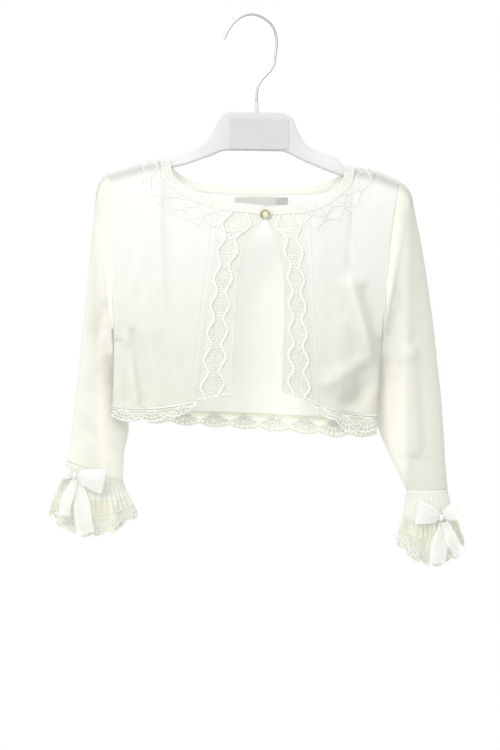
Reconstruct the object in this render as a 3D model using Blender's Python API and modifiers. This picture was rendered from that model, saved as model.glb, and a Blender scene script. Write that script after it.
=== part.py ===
"""Child's cropped cardigan in fine ivory knit, hanging on a frosted plastic hanger.

Tables are in millimetres, in the frame of the whole object: X to the viewer's right, Z up, the front of
the garment towards -Y. The origin is the point under the crown of the hook where a peg carries it.
"Left" and "right" are the viewer's, as the garment is seen from the front.
"""

import math

import bmesh
import bpy
from mathutils import Matrix, Vector

MM = 0.001
SEAM = 0.3  # clear space between two pieces that are sewn together
FRONT = -1
BACK = 1

KNIT_WALL = 1.6
LACE_WALL = 1.4
ZIGZAG_RISE = 1.0
RIB_RISE = 0.9
RIBBON_WALL = 1.0
LABEL_WALL = 1.0

ARMHOLE_HEIGHT = 185.0
ARMHOLE_DEPTH = 14.0  # half of the armhole's opening, front to back
CHEST_DEPTH = {FRONT: 24.0, BACK: 22.0}
DEPTH_RAMP = 120.0  # how far below the shoulder the body reaches its full depth
SHOULDER_ROUND = 3.5  # power of the curve that turns the cloth over the hanger's arm
CENTRE_X = 3.0
UNDERARM_Z = {"left": -356.4, "right": -357.5}
UNDERARM_FADE = 60.0
SHARP_ANGLE = 32  # degrees between two faces, past which their edge shades sharp

SHOULDER_LINE = (  # x, z of the cloth's inner side along both shoulders
    (-155.1, -172.7),
    (-135.3, -167.2),
    (-118.8, -162.8),
    (-99.0, -158.4),
    (-60.0, -150.0),
    (75.0, -159.0),
    (113.3, -167.2),
    (137.5, -171.6),
    (161.7, -182.1),
)
SIDE_LINE = {  # z, x of the armhole and the side seam below it, from the top down
    "left": ((-172.7, -155.1), (-240.0, -152.0), (-300.0, -150.0), (-356.4, -149.2), (-446.0, -151.4)),
    "right": ((-182.1, 161.7), (-240.0, 153.0), (-301.4, 146.8), (-357.5, 142.4), (-446.0, 136.2)),
}
PANEL_ROWS = (0.0, 0.004, 0.012, 0.024, 0.048, 0.09, 0.15, 0.23, 0.32, 0.42, 0.53, 0.64, 0.76, 0.88, 1.0)

# Columns of each panel: x and z on the top edge, x on the hem edge.
# The columns stand close where the cloth turns round a side and over the corner of the neck.
FRONT_COLUMNS = {
    "left": (
        (-155.1, -172.7, -151.2),
        (-154.4, -172.5, -150.5),
        (-152.0, -171.8, -148.2),
        (-147.0, -170.5, -143.6),
        (-139.0, -168.2, -136.6),
        (-127.0, -165.0, -127.4),
        (-113.0, -161.5, -117.2),
        (-99.0, -158.4, -106.5),
        (-98.8, -159.4, -102.2),
        (-98.4, -161.6, -98.2),
        (-97.6, -165.8, -94.0),
        (-95.7, -177.1, -88.6),
        (-86.4, -189.8, -82.0),
        (-72.1, -199.1, -75.0),
        (-51.7, -208.5, -67.2),
        (-33.0, -215.1, -59.4),
    ),
    "right": (
        (161.7, -182.1, 136.4),
        (161.0, -181.7, 135.8),
        (158.6, -180.6, 133.8),
        (153.8, -178.6, 130.0),
        (146.3, -175.3, 124.4),
        (137.5, -171.6, 117.4),
        (125.4, -169.4, 110.0),
        (113.3, -167.2, 102.6),
        (113.1, -168.2, 99.6),
        (112.7, -170.4, 96.6),
        (112.0, -174.6, 93.4),
        (110.0, -183.6, 88.6),
        (102.3, -193.6, 84.0),
        (89.1, -204.6, 79.0),
        (73.7, -213.4, 73.0),
        (56.1, -218.4, 67.1),
    ),
}
BACK_COLUMNS = (
    (-155.1, -172.7, -151.2),
    (-154.4, -172.5, -150.5),
    (-152.0, -171.8, -148.2),
    (-147.0, -170.5, -143.6),
    (-135.3, -167.2, -133.0),
    (-118.8, -162.8, -120.0),
    (-99.0, -158.4, -107.0),
    (-98.8, -159.4, -99.0),
    (-98.4, -161.6, -91.0),
    (-97.0, -165.8, -83.0),
    (-92.6, -173.2, -74.0),
    (-77.0, -185.6, -60.0),
    (-50.0, -192.8, -40.0),
    (6.6, -195.8, 0.0),
    (64.0, -194.8, 40.0),
    (92.0, -188.6, 58.0),
    (107.6, -179.4, 71.0),
    (111.6, -174.0, 79.0),
    (112.7, -170.4, 87.0),
    (113.1, -168.2, 94.0),
    (113.3, -167.2, 101.0),
    (125.4, -169.4, 109.0),
    (137.5, -171.6, 117.4),
    (146.3, -175.3, 124.4),
    (153.8, -178.6, 130.0),
    (158.6, -180.7, 133.8),
    (161.0, -181.8, 135.8),
    (161.7, -182.1, 136.4),
)
HEM_LINE = {  # x, z of the lower edge of the plain knit, where the lace is sewn on
    "left": ((-151.2, -427.9), (-133.1, -430.7), (-111.1, -430.7), (-83.6, -427.9), (-59.4, -423.5)),
    "right": ((67.1, -424.6), (86.9, -431.2), (103.4, -435.6), (119.9, -437.8), (136.4, -438.9)),
    "back": ((-151.2, -431.2), (-78.1, -434.5), (-12.1, -436.7), (53.9, -440.0), (136.4, -444.4)),
}
LACE_DEPTH = {  # x, depth of the scalloped lace below that edge at its deepest
    "left": ((-151.2, 14.0), (-133.1, 15.0), (-100.1, 15.0), (-83.6, 13.5), (-67.1, 9.5), (-59.4, 5.0)),
    "right": ((67.1, 6.0), (86.9, 13.0), (103.4, 19.0), (111.1, 22.0), (125.4, 19.5), (136.4, 17.0)),
    "back": ((-151.2, 13.5), (-78.1, 15.5), (-12.1, 17.5), (56.1, 19.0), (97.9, 21.5), (136.4, 18.0)),
}
SCALLOPS = {"left": 3, "right": 3, "back": 9}
SCALLOP_COLUMNS = 6
SCALLOP_NOTCH = 4.5
SCALLOP_LEAST = 0.45  # share of the lace's depth that a notch leaves
SCALLOP_RIM = 0.5  # how far the scallops' edge stands off the lace

FRONT_EDGE = {  # z, x of the free front edge, from the button down
    "left": (
        (-220.3, 15.2),
        (-225.5, 13.6),
        (-235.4, 6.6),
        (-246.4, -2.6),
        (-257.4, -6.8),
        (-268.4, -11.0),
        (-290.4, -14.6),
        (-345.4, -18.7),
        (-383.9, -20.4),
        (-416.9, -21.5),
    ),
    "right": (
        (-220.6, 15.8),
        (-225.5, 17.1),
        (-235.4, 20.0),
        (-244.2, 25.3),
        (-257.4, 29.7),
        (-281.6, 34.1),
        (-301.4, 35.8),
        (-334.4, 35.8),
        (-367.4, 34.7),
        (-412.5, 33.0),
    ),
}
BORDER_DIAMONDS = 7
ROWS_A_DIAMOND = 4
DIAMOND_CENTRE = 0.43  # share of the border's width, from its sewn side
DIAMOND_WIDE = 0.36
DIAMOND_NARROW = 0.17
ZIGZAG_HALF = 1.5
BORDER_COLUMNS = 9
CORD_COLUMNS = (2, 6)  # the columns along the crests of the two zigzag cords

NECK_EDGING_WIDTH = 9.0
NECK_RIB = 4.0
NECK_CENTRE = (7.0, 0.0, -140.0)  # a point over the neck opening, towards which its edging stands
NECK_CORNERS = {"front": 7, "back": (6, 21)}  # columns of the panels that end on the neckline

# Sleeve sections: outer x, outer z, inner x, inner z, half depth, how far back the section lies.
SLEEVE_SECTIONS = {
    "left": (
        (-155.4, -172.9, -149.6, -344.0, 14.0, 0.0),
        (-162.2, -177.1, -153.0, -350.0, 14.0, 1.0),
        (-166.7, -185.9, -155.0, -357.0, 13.5, 3.0),
        (-169.4, -198.0, -155.6, -365.0, 13.0, 6.0),
        (-171.9, -218.9, -155.4, -374.0, 13.0, 9.0),
        (-174.9, -251.9, -154.4, -384.0, 13.0, 13.0),
        (-179.3, -295.9, -152.4, -398.0, 13.0, 18.0),
        (-184.3, -345.4, -147.8, -416.0, 13.0, 22.0),
        (-189.2, -394.9, -138.5, -436.0, 13.5, 24.0),
        (-194.2, -438.9, -137.5, -457.0, 14.0, 23.0),
        (-198.0, -471.9, -142.6, -482.0, 14.0, 20.0),
        (-201.8, -489.5, -143.4, -511.5, 14.0, 17.0),
    ),
    "right": (
        (162.0, -182.4, 143.0, -345.0, 14.0, 0.0),
        (168.3, -187.0, 147.0, -351.0, 14.0, 1.0),
        (173.8, -194.7, 149.0, -358.0, 13.5, 3.0),
        (177.7, -209.0, 149.4, -366.0, 13.0, 6.0),
        (181.5, -228.8, 148.4, -375.0, 13.0, 9.0),
        (186.5, -253.0, 146.6, -385.0, 13.0, 13.0),
        (192.5, -290.4, 143.2, -398.0, 13.0, 17.0),
        (198.8, -334.4, 137.4, -414.0, 13.0, 21.0),
        (204.3, -383.9, 137.0, -434.0, 13.5, 22.0),
        (208.7, -427.9, 144.1, -457.6, 14.0, 20.0),
        (211.2, -466.4, 154.0, -481.0, 14.0, 18.0),
        (213.1, -497.2, 164.6, -503.0, 14.0, 16.0),
        (215.1, -520.3, 173.4, -521.4, 14.0, 14.0),
    ),
}
SLEEVE_AROUND = 16
SLEEVE_ROUNDING = 6.0  # sections over which the sleeve turns from the armhole's form to an oval
SLEEVE_TOP_BACK = 0.35  # share of a section's backward lie that its outer edge has
ARMHOLE_CLEAR = 0.45  # clear space between the sleeve's first ring and the side of the body
ARMHOLE_PINCH = 5.0  # how soon the ring opens on each side of its two ends
UNDERARM_SPREAD = (0.78, 0.16, 0.35)  # from this share round the ring, over this share, walls more
UNDERARM_LEAN = 4.0  # how strongly the seam's wall there faces outwards and down
UNDERARM_WALL = 1.0  # the sleeve's wall where it is crushed under the arm
UNDERARM_THIN_SHARE = -0.6
UNDERARM_SHARE = -0.85  # cosine round the armhole, past which the sleeve's own bend rules

# Cuff frills: x and z of the lower rim's outer and inner ends, its half depth, and its sag in the middle.
FRILL_RIM = {
    "left": (-219.0, -551.0, -128.5, -549.0, 27.0, 22.0),
    "right": (231.0, -584.0, 164.0, -580.0, 27.0, 22.0),
}
FRILL_WAVES = 9
FRILL_WAVE_COLUMNS = 4
FRILL_WAVE_HEIGHT = 3.2
FRILL_ROWS = (0.0, 0.07, 0.15, 0.4, 0.7, 1.0)
CUFF_BEAD_ROW = 1
CUFF_BEAD_RISE = 0.9
FRILL_NOTCH = 3.5
FRILL_LIE_BACK = 0.8  # share of the cuff's backward lie that the frill keeps
FRILL_FLARE = (0.35, 0.65, 1.1)  # share that flares evenly, share that eases in, how quickly it does
FRILL_WAVE_EASE = (1.2, -0.15)  # how the waves grow from the seam down
FRILL_NOTCH_EASE = (3.0, -2.0)  # how the notches grow towards the rim
FRILL_NOTCH_POWER = 0.7
FRILL_SAG_POWER = 1.5

# Soft folds: x and z of both ends, half width, rise towards the viewer (negative is a trough).
FRONT_FOLDS = (
    (-137.0, -322.0, -122.0, -340.0, 9.0, 3.0),
    (-136.0, -368.0, -139.0, -426.0, 5.0, -3.2),
    (-128.0, -344.0, -119.0, -424.0, 5.0, -3.6),
    (-112.0, -350.0, -104.0, -428.0, 9.0, 2.4),
    (111.0, -300.0, 130.0, -372.0, 6.0, 3.4),
    (122.0, -392.0, 118.0, -434.0, 10.0, -5.5),
    (100.0, -340.0, 96.0, -432.0, 9.0, 2.2),
    (-88.0, -230.0, -96.0, -330.0, 12.0, -1.6),
    (90.0, -240.0, 84.0, -350.0, 12.0, -1.6),
)
BACK_FOLDS = (
    (-128.0, -340.0, -118.0, -430.0, 8.0, -3.0),
    (-90.0, -300.0, -96.0, -432.0, 12.0, 2.4),
    (-30.0, -330.0, -22.0, -434.0, 14.0, -2.6),
    (30.0, -320.0, 24.0, -436.0, 14.0, 2.4),
    (84.0, -300.0, 96.0, -438.0, 12.0, -2.8),
    (122.0, -340.0, 118.0, -440.0, 9.0, 2.6),
)
SLEEVE_FOLDS = {
    "left": (
        (-158.0, -322.0, -170.0, -350.0, 7.0, -2.6),
        (-162.0, -378.0, -182.0, -394.0, 7.0, 2.2),
        (-166.0, -400.0, -160.0, -470.0, 9.0, 2.2),
        (-184.0, -452.0, -158.0, -476.0, 6.0, -2.0),
    ),
    "right": (
        (156.0, -330.0, 176.0, -356.0, 7.0, -2.6),
        (152.0, -301.0, 176.0, -372.0, 7.0, 3.4),
        (176.0, -372.0, 180.0, -478.0, 7.0, 3.2),
        (164.0, -388.0, 160.0, -450.0, 7.0, -2.2),
    ),
}

BUTTON_PLACE = (15.5, -220.0)
BUTTON_RADIUS = 5.35
BUTTON_THICK = 2.8
LOOP_RADIUS = 6.2
LOOP_CORD = 0.6

BUTTON_PROFILE = (  # share of the radius, share of the thickness
    (0.0, 0.0),
    (0.8, 0.0),
    (1.0, 0.18),
    (1.0, 0.72),
    (0.86, 1.0),
    (0.62, 0.86),
    (0.0, 0.62),
)

LABEL_MAIN = (-17.6, 27.3, -197.6, -211.6)  # x from, x to, z top, z bottom
LABEL_TAB = (27.7, 40.7, -198.4, -210.4)

HANGER_OUTLINE = (
    (-28.6, -105.6),
    (36.3, -106.7),
    (46.2, -112.9),
    (51.7, -128.3),
    (59.4, -140.8),
    (67.1, -146.3),
    (94.0, -156.0),
    (99.5, -162.6),
    (104.5, -168.0),
    (113.3, -169.6),
    (137.5, -174.0),
    (146.3, -178.0),
    (160.0, -184.2),
    (164.6, -188.4),
    (163.2, -193.2),
    (157.0, -193.0),
    (143.0, -186.8),
    (130.0, -182.4),
    (102.3, -177.4),
    (78.1, -168.2),
    (54.5, -158.2),
    (43.2, -151.8),
    (34.8, -148.8),
    (-27.0, -147.9),
    (-33.1, -149.0),
    (-45.1, -154.3),
    (-70.4, -163.0),
    (-92.0, -168.4),
    (-120.0, -174.4),
    (-145.0, -181.4),
    (-154.0, -184.0),
    (-158.2, -181.4),
    (-156.6, -176.8),
    (-135.3, -169.7),
    (-118.8, -165.3),
    (-99.0, -160.9),
    (-89.0, -158.9),
    (-87.2, -153.0),
    (-57.8, -143.8),
    (-50.6, -139.7),
    (-44.0, -129.8),
    (-35.2, -112.9),
)
HANGER_HALF_THICK = 5.0
HANGER_ROUND = 2.5
HOOK_ROUTE = (
    (-29.7, -25.3),
    (-24.2, -14.3),
    (-14.3, -3.3),
    (-3.3, 1.4),
    (6.6, 0.8),
    (15.2, -3.3),
    (23.5, -11.0),
    (27.1, -20.2),
    (28.3, -30.1),
    (27.1, -41.4),
    (25.4, -52.6),
    (22.2, -58.9),
    (15.2, -66.6),
    (9.6, -73.6),
    (7.5, -79.2),
    (6.4, -87.7),
    (6.2, -94.4),
)
HOOK_WIRE_RADIUS = 1.45
COLLAR_RADIUS = 2.3
COLLAR_X = 6.2
COLLAR_TOP = -94.7
COLLAR_BOTTOM = -105.8

# Bows: knot x, y, z; then the end's x, y, z of each loop and tail, and the ribbon's width there.
BOWS = {
    "left": {
        "knot": (-193.0, -9.6, -505.0),
        "loops": ((-215.0, -9.6, -497.0, 13.0), (-168.0, -12.2, -500.0, 14.0)),
        "tails": ((-178.5, -20.0, -566.0, 15.0), (-205.0, -19.0, -548.0, 13.0)),
    },
    "right": {
        "knot": (208.0, -14.2, -551.0),
        "loops": ((185.5, -14.2, -539.0, 15.0), (225.5, -14.2, -540.0, 14.0)),
        "tails": ((200.5, -22.5, -598.0, 14.0), (228.5, -20.0, -590.0, 13.0)),
    },
}

BOW_KNOT = (2.9, 3.4, 4.0)  # half sizes
LOOP_START = 3.6  # where a ribbon loop leaves the knot's centre
LOOP_OPEN = 2.6  # half of the loop's opening, front to back
LOOP_STEPS = 12
LOOP_PINCH = 5.0  # width of the ribbon where it enters the knot
TAIL_START = 4.7
TAIL_STAGGER = 2.6  # how far the second tail starts in front of the first
TAIL_STEPS = 7
TAIL_PINCH = 6.0
TAIL_WAVE = (1.8, 1.6)  # sway of a tail sideways and towards the viewer
TAIL_TURN = (5.0, 4.0)  # radians that each of those waves turns along a tail
RIBBON_CROWN = 0.9

COLOURS = {
    "knit": ((0.90, 0.88, 0.80, 1.0), 0.9, 0.0),
    "lace": ((0.92, 0.90, 0.83, 1.0), 0.9, 0.0),
    "ribbon": ((0.95, 0.94, 0.90, 1.0), 0.4, 0.0),
    "pearl": ((0.82, 0.76, 0.62, 1.0), 0.25, 0.0),
    "label": ((0.74, 0.77, 0.74, 1.0), 0.5, 0.0),
    "frosted": ((0.82, 0.84, 0.85, 1.0), 0.35, 0.0),
    "steel": ((0.75, 0.75, 0.76, 1.0), 0.2, 1.0),
}


# Curves and small helpers


def smooth_at(rows, key, column=1, key_column=0):
    """The value in a table's column at key, on a smooth curve through its rows."""
    ks = [row[key_column] for row in rows]
    vs = [row[column] for row in rows]
    if ks[0] > ks[-1]:
        ks.reverse()
        vs.reverse()
    if key <= ks[0]:
        return vs[0]
    if key >= ks[-1]:
        return vs[-1]
    n = next(i for i in range(len(ks) - 1) if key <= ks[i + 1])
    slopes = [(vs[i + 1] - vs[i]) / (ks[i + 1] - ks[i]) for i in range(len(ks) - 1)]

    def tangent(i):
        if i in (0, len(ks) - 1):
            return slopes[min(i, len(slopes) - 1)]
        a, b = slopes[i - 1], slopes[i]
        return 0.0 if a * b <= 0 else 2 * a * b / (a + b)

    h = ks[n + 1] - ks[n]
    t = (key - ks[n]) / h
    return (
        (2 * t**3 - 3 * t**2 + 1) * vs[n]
        + (t**3 - 2 * t**2 + t) * h * tangent(n)
        + (3 * t**2 - 2 * t**3) * vs[n + 1]
        + (t**3 - t**2) * h * tangent(n + 1)
    )


def linear_at(rows, key, column=1):
    """The value in a table's column at key, on straight lines between its rows."""
    ordered = sorted(rows)
    if key <= ordered[0][0]:
        return ordered[0][column]
    for a, b in zip(ordered, ordered[1:]):
        if key <= b[0]:
            return a[column] + (b[column] - a[column]) * (key - a[0]) / (b[0] - a[0])
    return ordered[-1][column]


def ease(t):
    t = min(1.0, max(0.0, t))
    return t * t * (3 - 2 * t)


def mix(a, b, t):
    return a + (b - a) * t


def fold_rise(folds, x, z):
    """How far soft folds lift the cloth towards the viewer at x, z."""
    rise = 0.0
    for x1, z1, x2, z2, half, height in folds:
        dx, dz = x2 - x1, z2 - z1
        along = ((x - x1) * dx + (z - z1) * dz) / (dx * dx + dz * dz)
        near = min(1.0, max(0.0, along))
        off = math.hypot(x - x1 - near * dx, z - z1 - near * dz)
        rise += height * math.exp(-((off / half) ** 2))
    return rise


# The body as one hollow form, front and back


def side_x(side, z):
    return smooth_at(SIDE_LINE[side], z)


def over_arm(drop):
    """0 on the ridge of the shoulder, 1 where the cloth hangs clear of the hanger's arm."""
    share = min(1.0, max(0.0, 2 * drop / ARMHOLE_HEIGHT))
    return math.sqrt(max(0.0, 1 - (1 - share) ** SHOULDER_ROUND))


def armhole_close(side, z):
    """1 on the upper armhole, falling to 0 at the underarm, where front and back meet."""
    top = SIDE_LINE[side][0][0]
    f = (top - z) / (top - UNDERARM_Z[side])
    if f >= 1:
        return 0.0
    return math.sqrt(max(0.0, 1 - max(0.0, 2 * f - 1) ** SHOULDER_ROUND))


def body_y(face, x, z):
    """Y of the cloth's inner side on the front or the back of the body."""
    side = "left" if x < CENTRE_X else "right"
    edge = side_x(side, z)
    across = min(1.0, max(0.0, (x - edge) / (CENTRE_X - edge)))
    swell = 1 - (1 - across) ** 2
    power = 0.5 + 0.5 * ease((z - UNDERARM_Z[side]) / UNDERARM_FADE)
    drop = linear_at(SHOULDER_LINE, x) - z
    at_edge = ARMHOLE_DEPTH * armhole_close(side, z)
    chest = ARMHOLE_DEPTH + (CHEST_DEPTH[face] - ARMHOLE_DEPTH) * ease(drop / DEPTH_RAMP)
    depth = over_arm(drop) * (at_edge + (chest - at_edge) * swell**power)
    folds = FRONT_FOLDS if face == FRONT else BACK_FOLDS
    depth += fold_rise(folds, x, z) * min(1.0, depth / ARMHOLE_DEPTH) ** 2
    return face * (SEAM / 2 + depth)


def body_normal(face, x, z):
    """The outward direction of the body's cloth at x, z, taken just inside its edges."""
    side = "left" if x < CENTRE_X else "right"
    inset = 0.1
    edge = side_x(side, z)
    x = max(x, edge + inset) if side == "left" else min(x, edge - inset)
    z = min(z, linear_at(SHOULDER_LINE, x) - inset)
    step = inset / 2
    slope_x = (body_y(face, x + step, z) - body_y(face, x - step, z)) / (2 * step)
    slope_z = (body_y(face, x, z + step) - body_y(face, x, z - step)) / (2 * step)
    return (Vector((-slope_x, 1.0, -slope_z)) * face).normalized()


def panel_surface(face, columns, hem, side_of):
    """A function of column and row that places a panel's inner side."""
    last = len(columns) - 1

    def place(u, v):
        c = min(int(u), last - 1)
        t = u - c
        a, b = columns[c], columns[c + 1]
        top_x, top_z, hem_x = (mix(p, q, t) for p, q in zip(a, b))
        hem_z = smooth_at(hem, hem_x)
        z = mix(top_z, hem_z, v)
        x = mix(top_x, hem_x, v)
        for side, share in side_of(u / last):
            edge_top, edge_hem = (columns[0], columns[last])[side != side_of(0)[0][0]][0::2]
            x += (side_x(side, z) - mix(edge_top, edge_hem, v)) * share
        return Vector((x, body_y(face, x, z), z))

    return place


def one_side(side):
    return lambda share: ((side, (1 - share) ** 2),)


def both_sides(share):
    return (("left", max(0.0, 1 - 2 * share) ** 2), ("right", max(0.0, 2 * share - 1) ** 2))


# Walls of cloth


def add_object(name, bm, colour):
    mesh = bpy.data.meshes.new(name)
    bm.to_mesh(mesh)
    bm.free()
    obj = bpy.data.objects.new(name, mesh)
    finish_object(obj, colour)
    return obj


def finish_object(obj, colour):
    parts.objects.link(obj)
    obj.data.materials.clear()
    obj.data.materials.append(materials[colour])
    if obj.type == "MESH":
        obj.data.shade_smooth()
        obj.data.set_sharp_from_angle(angle=math.radians(SHARP_ANGLE))


def wall(name, points, normals, rows, thick, colour, closed=False):
    """A closed wall: the points are its plain inner side, and the outer side stands thick off them."""
    columns = len(points) // rows
    thick = thick if callable(thick) else (lambda c, r, t=thick: t)
    bm = bmesh.new()
    inner = [bm.verts.new(p * MM) for p in points]
    outer = [
        bm.verts.new((p + n * thick(i // rows, i % rows)) * MM)
        for i, (p, n) in enumerate(zip(points, normals))
    ]
    for c in range(columns if closed else columns - 1):
        d = (c + 1) % columns
        for r in range(rows - 1):
            a, b = c * rows + r, d * rows + r
            bm.faces.new((inner[a], inner[a + 1], inner[b + 1], inner[b]))
            bm.faces.new((outer[a], outer[b], outer[b + 1], outer[a + 1]))
        for r in (0, rows - 1):
            a, b = c * rows + r, d * rows + r
            bm.faces.new((inner[a], inner[b], outer[b], outer[a]))
    if not closed:
        for c in (0, columns - 1):
            for r in range(rows - 1):
                a = c * rows + r
                bm.faces.new((inner[a], inner[a + 1], outer[a + 1], outer[a]))
    bmesh.ops.recalc_face_normals(bm, faces=bm.faces)
    return add_object(name, bm, colour)


# Pieces of the garment


def make_panel(name, face, columns, hem, side_of):
    place = panel_surface(face, columns, hem, side_of)
    points = [place(c, v) for c in range(len(columns)) for v in PANEL_ROWS]
    normals = [body_normal(face, p.x, p.z) for p in points]
    wall(name, points, normals, len(PANEL_ROWS), KNIT_WALL, "knit")
    rows = len(PANEL_ROWS)
    top = [(points[c * rows], normals[c * rows]) for c in range(len(columns))]
    bottom = [(points[c * rows + rows - 1], normals[c * rows + rows - 1]) for c in range(len(columns))]
    return top, bottom


def border_place(side):
    """Inner side of a lace front border: u from its sewn side to its free edge, v from the top down."""
    columns = FRONT_COLUMNS[side]
    top_x, top_z, hem_x = columns[-1]
    hem_z = smooth_at(HEM_LINE[side], hem_x)
    toward = 1 if side == "left" else -1
    edge_rows = FRONT_EDGE[side]

    def place(u, v):
        free_z = mix(edge_rows[0][0], edge_rows[-1][0], v)
        free_x = smooth_at(edge_rows, free_z)
        sewn_x = mix(top_x, hem_x, v) + toward * SEAM
        sewn_z = mix(top_z, hem_z, v)
        x = mix(sewn_x, free_x, u)
        z = mix(sewn_z, free_z, u)
        return Vector((x, body_y(FRONT, x, z), z))

    return place


def make_border(name, side):
    steps = round(BORDER_DIAMONDS * ROWS_A_DIAMOND)
    vs = [i / steps for i in range(steps + 1)]
    place = border_place(side)
    rows = len(vs)
    grid = [[None] * rows for _ in range(BORDER_COLUMNS)]
    for r, v in enumerate(vs):
        width = (place(1, v) - place(0, v)).length
        swing = abs((v * BORDER_DIAMONDS) % 1.0 * 2 - 1)
        half = mix(DIAMOND_WIDE, DIAMOND_NARROW, swing)
        cord = ZIGZAG_HALF / width
        left, right = DIAMOND_CENTRE - half, DIAMOND_CENTRE + half
        across = (0, left - cord, left, left + cord, DIAMOND_CENTRE, right - cord, right, right + cord, 1)
        for c, u in enumerate(across):
            p = place(u, v)
            grid[c][r] = (p, body_normal(FRONT, p.x, p.z))
    points = [p for column in grid for p, _ in column]
    normals = [n for column in grid for _, n in column]

    def thick(c, r):
        return LACE_WALL + (ZIGZAG_RISE if c in CORD_COLUMNS else 0.0)

    wall(name, points, normals, rows, thick, "lace")
    return [column[0] for column in grid]


def lengths_along(edge):
    """How far along an edge, given as point and normal pairs, each of its points lies."""
    lengths = [0.0]
    for (a, _), (b, _) in zip(edge, edge[1:]):
        lengths.append(lengths[-1] + (b - a).length)
    return lengths


def along(edge, count):
    """Points and normals evenly spaced along an edge given as point and normal pairs."""
    lengths = lengths_along(edge)
    out = []
    for i in range(count + 1):
        s = lengths[-1] * i / count
        passed = next((j - 1 for j in range(1, len(lengths)) if s <= lengths[j]), len(edge) - 2)
        k = min(len(edge) - 2, passed)
        t = (s - lengths[k]) / max(1e-9, lengths[k + 1] - lengths[k])
        p = edge[k][0].lerp(edge[k + 1][0], t)
        n = edge[k][1].lerp(edge[k + 1][1], t).normalized()
        out.append((p, n))
    return out


def make_neck_edging(edge):
    """A ribbed strip that stands on the neckline, from the button round the back to the button."""
    count = 2 * round(lengths_along(edge)[-1] / NECK_RIB)
    base = along(edge, count)
    points, normals = [], []
    for i, (p, n) in enumerate(base):
        ahead = base[min(count, i + 2)][0] - base[max(0, i - 2)][0]
        inward = n.cross(ahead).normalized()
        if inward.dot(Vector(NECK_CENTRE) - p) < 0:
            inward = -inward
        for reach in (SEAM, NECK_EDGING_WIDTH):
            q = p + inward * reach
            if q.y < 0 and i < count / 4:
                q.x = min(q.x, BUTTON_PLACE[0] - SEAM / 2)
            if q.y < 0 and i > count * 3 / 4:
                q.x = max(q.x, BUTTON_PLACE[0] + SEAM / 2)
            points.append(q)
            normals.append(n)
    wall("neck_edging", points, normals, 2, lambda c, r: LACE_WALL + (RIB_RISE if c % 2 else 0.0), "lace")


def make_hem_lace(name, edge, key):
    scallops = SCALLOPS[key]
    count = scallops * SCALLOP_COLUMNS
    base = along(edge, count)
    points, normals = [], []
    rows = 3
    for i, (p, n) in enumerate(base):
        phase = (i % SCALLOP_COLUMNS) / SCALLOP_COLUMNS
        notch = SCALLOP_NOTCH * (1 - abs(math.sin(math.pi * phase)) ** 0.7)
        depth = linear_at(LACE_DEPTH[key], p.x)
        deep = max(SCALLOP_LEAST * depth, depth - notch)
        for r in range(rows):
            points.append(p + Vector((0, 0, -mix(SEAM, deep, r / (rows - 1)))))
            normals.append(n)
    wall(name, points, normals, rows, lambda c, r: LACE_WALL + (SCALLOP_RIM if r == 2 else 0.0), "lace")


def sleeve_place(side):
    rows = [(i,) + row for i, row in enumerate(SLEEVE_SECTIONS[side])]

    def place(around, t):
        """around runs from the shoulder line down the front, under the arm and back up behind."""
        angle = 2 * math.pi * around
        f = (1 - math.cos(angle)) / 2
        ox, oz, ix, iz, half, back = (smooth_at(rows, t, c) for c in range(1, 7))
        x = mix(ox, ix, f)
        z = mix(oz, iz, f)
        front = math.sin(angle) >= 0
        tube = math.sqrt(max(0.0, 1 - abs(2 * f - 1) ** mix(SHOULDER_ROUND, 2.0, ease(t / SLEEVE_ROUNDING))))
        y = back * mix(SLEEVE_TOP_BACK, 1.0, f) + (-1 if front else 1) * half * tube
        if t < 1:
            edge = SIDE_LINE[side]
            own_z = min(edge[0][0], max(UNDERARM_Z[side], z))
            seam_y = ARMHOLE_DEPTH * over_arm(edge[0][0] - own_z) * armhole_close(side, own_z)
            seam_y *= min(1.0, ARMHOLE_PINCH * abs(math.sin(angle)))
            y = mix((-1 if front else 1) * seam_y, y, ease(t))
            seam_x = side_x(side, z)
            lean = max(abs(body_normal(face, seam_x, own_z).x) for face in (FRONT, BACK))
            start, reach, more = UNDERARM_SPREAD
            clear = ARMHOLE_CLEAR + KNIT_WALL * (lean + more * ease((f - start) / reach))
            x = mix(seam_x + (-clear if side == "left" else clear), x, ease(t))
        rise = fold_rise(SLEEVE_FOLDS[side], x, z) * tube
        y -= rise if front else -rise * 0.5
        return Vector((x, y, z))

    return place


def make_sleeve(name, side):
    place = sleeve_place(side)
    last = len(SLEEVE_SECTIONS[side]) - 1
    us = [i / SLEEVE_AROUND for i in range(SLEEVE_AROUND)]
    vs = list(range(last + 1))

    points, normals = [], []
    step = 1e-3
    for u in us:
        for t in vs:
            p = place(u, t)
            at_body = math.cos(2 * math.pi * u) > UNDERARM_SHARE
            if t == 0 and at_body:
                n = body_normal(FRONT if p.y < 0 else BACK, p.x, p.z)
            else:
                near = max(1, t)  # under the arm the seam takes its direction from the next section
                run = place(u + step, near) - place(u - step, near)
                fall = place(u, min(last, near + step)) - place(u, near - step)
                n = run.cross(fall).normalized() * (-1 if side == "left" else 1)
                if t == 0:
                    n = (n + UNDERARM_LEAN * Vector((0, -math.sin(2 * math.pi * u), -0.2))).normalized()
            points.append(p)
            normals.append(n)

    def thick(c, r):
        under = math.cos(2 * math.pi * c / SLEEVE_AROUND) < UNDERARM_THIN_SHARE and r < 2
        return UNDERARM_WALL if under else KNIT_WALL

    wall(name, points, normals, len(vs), thick, "knit", closed=True)
    rows = len(vs)
    return [(points[i * rows + last], normals[i * rows + last]) for i in range(SLEEVE_AROUND)]


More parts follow.
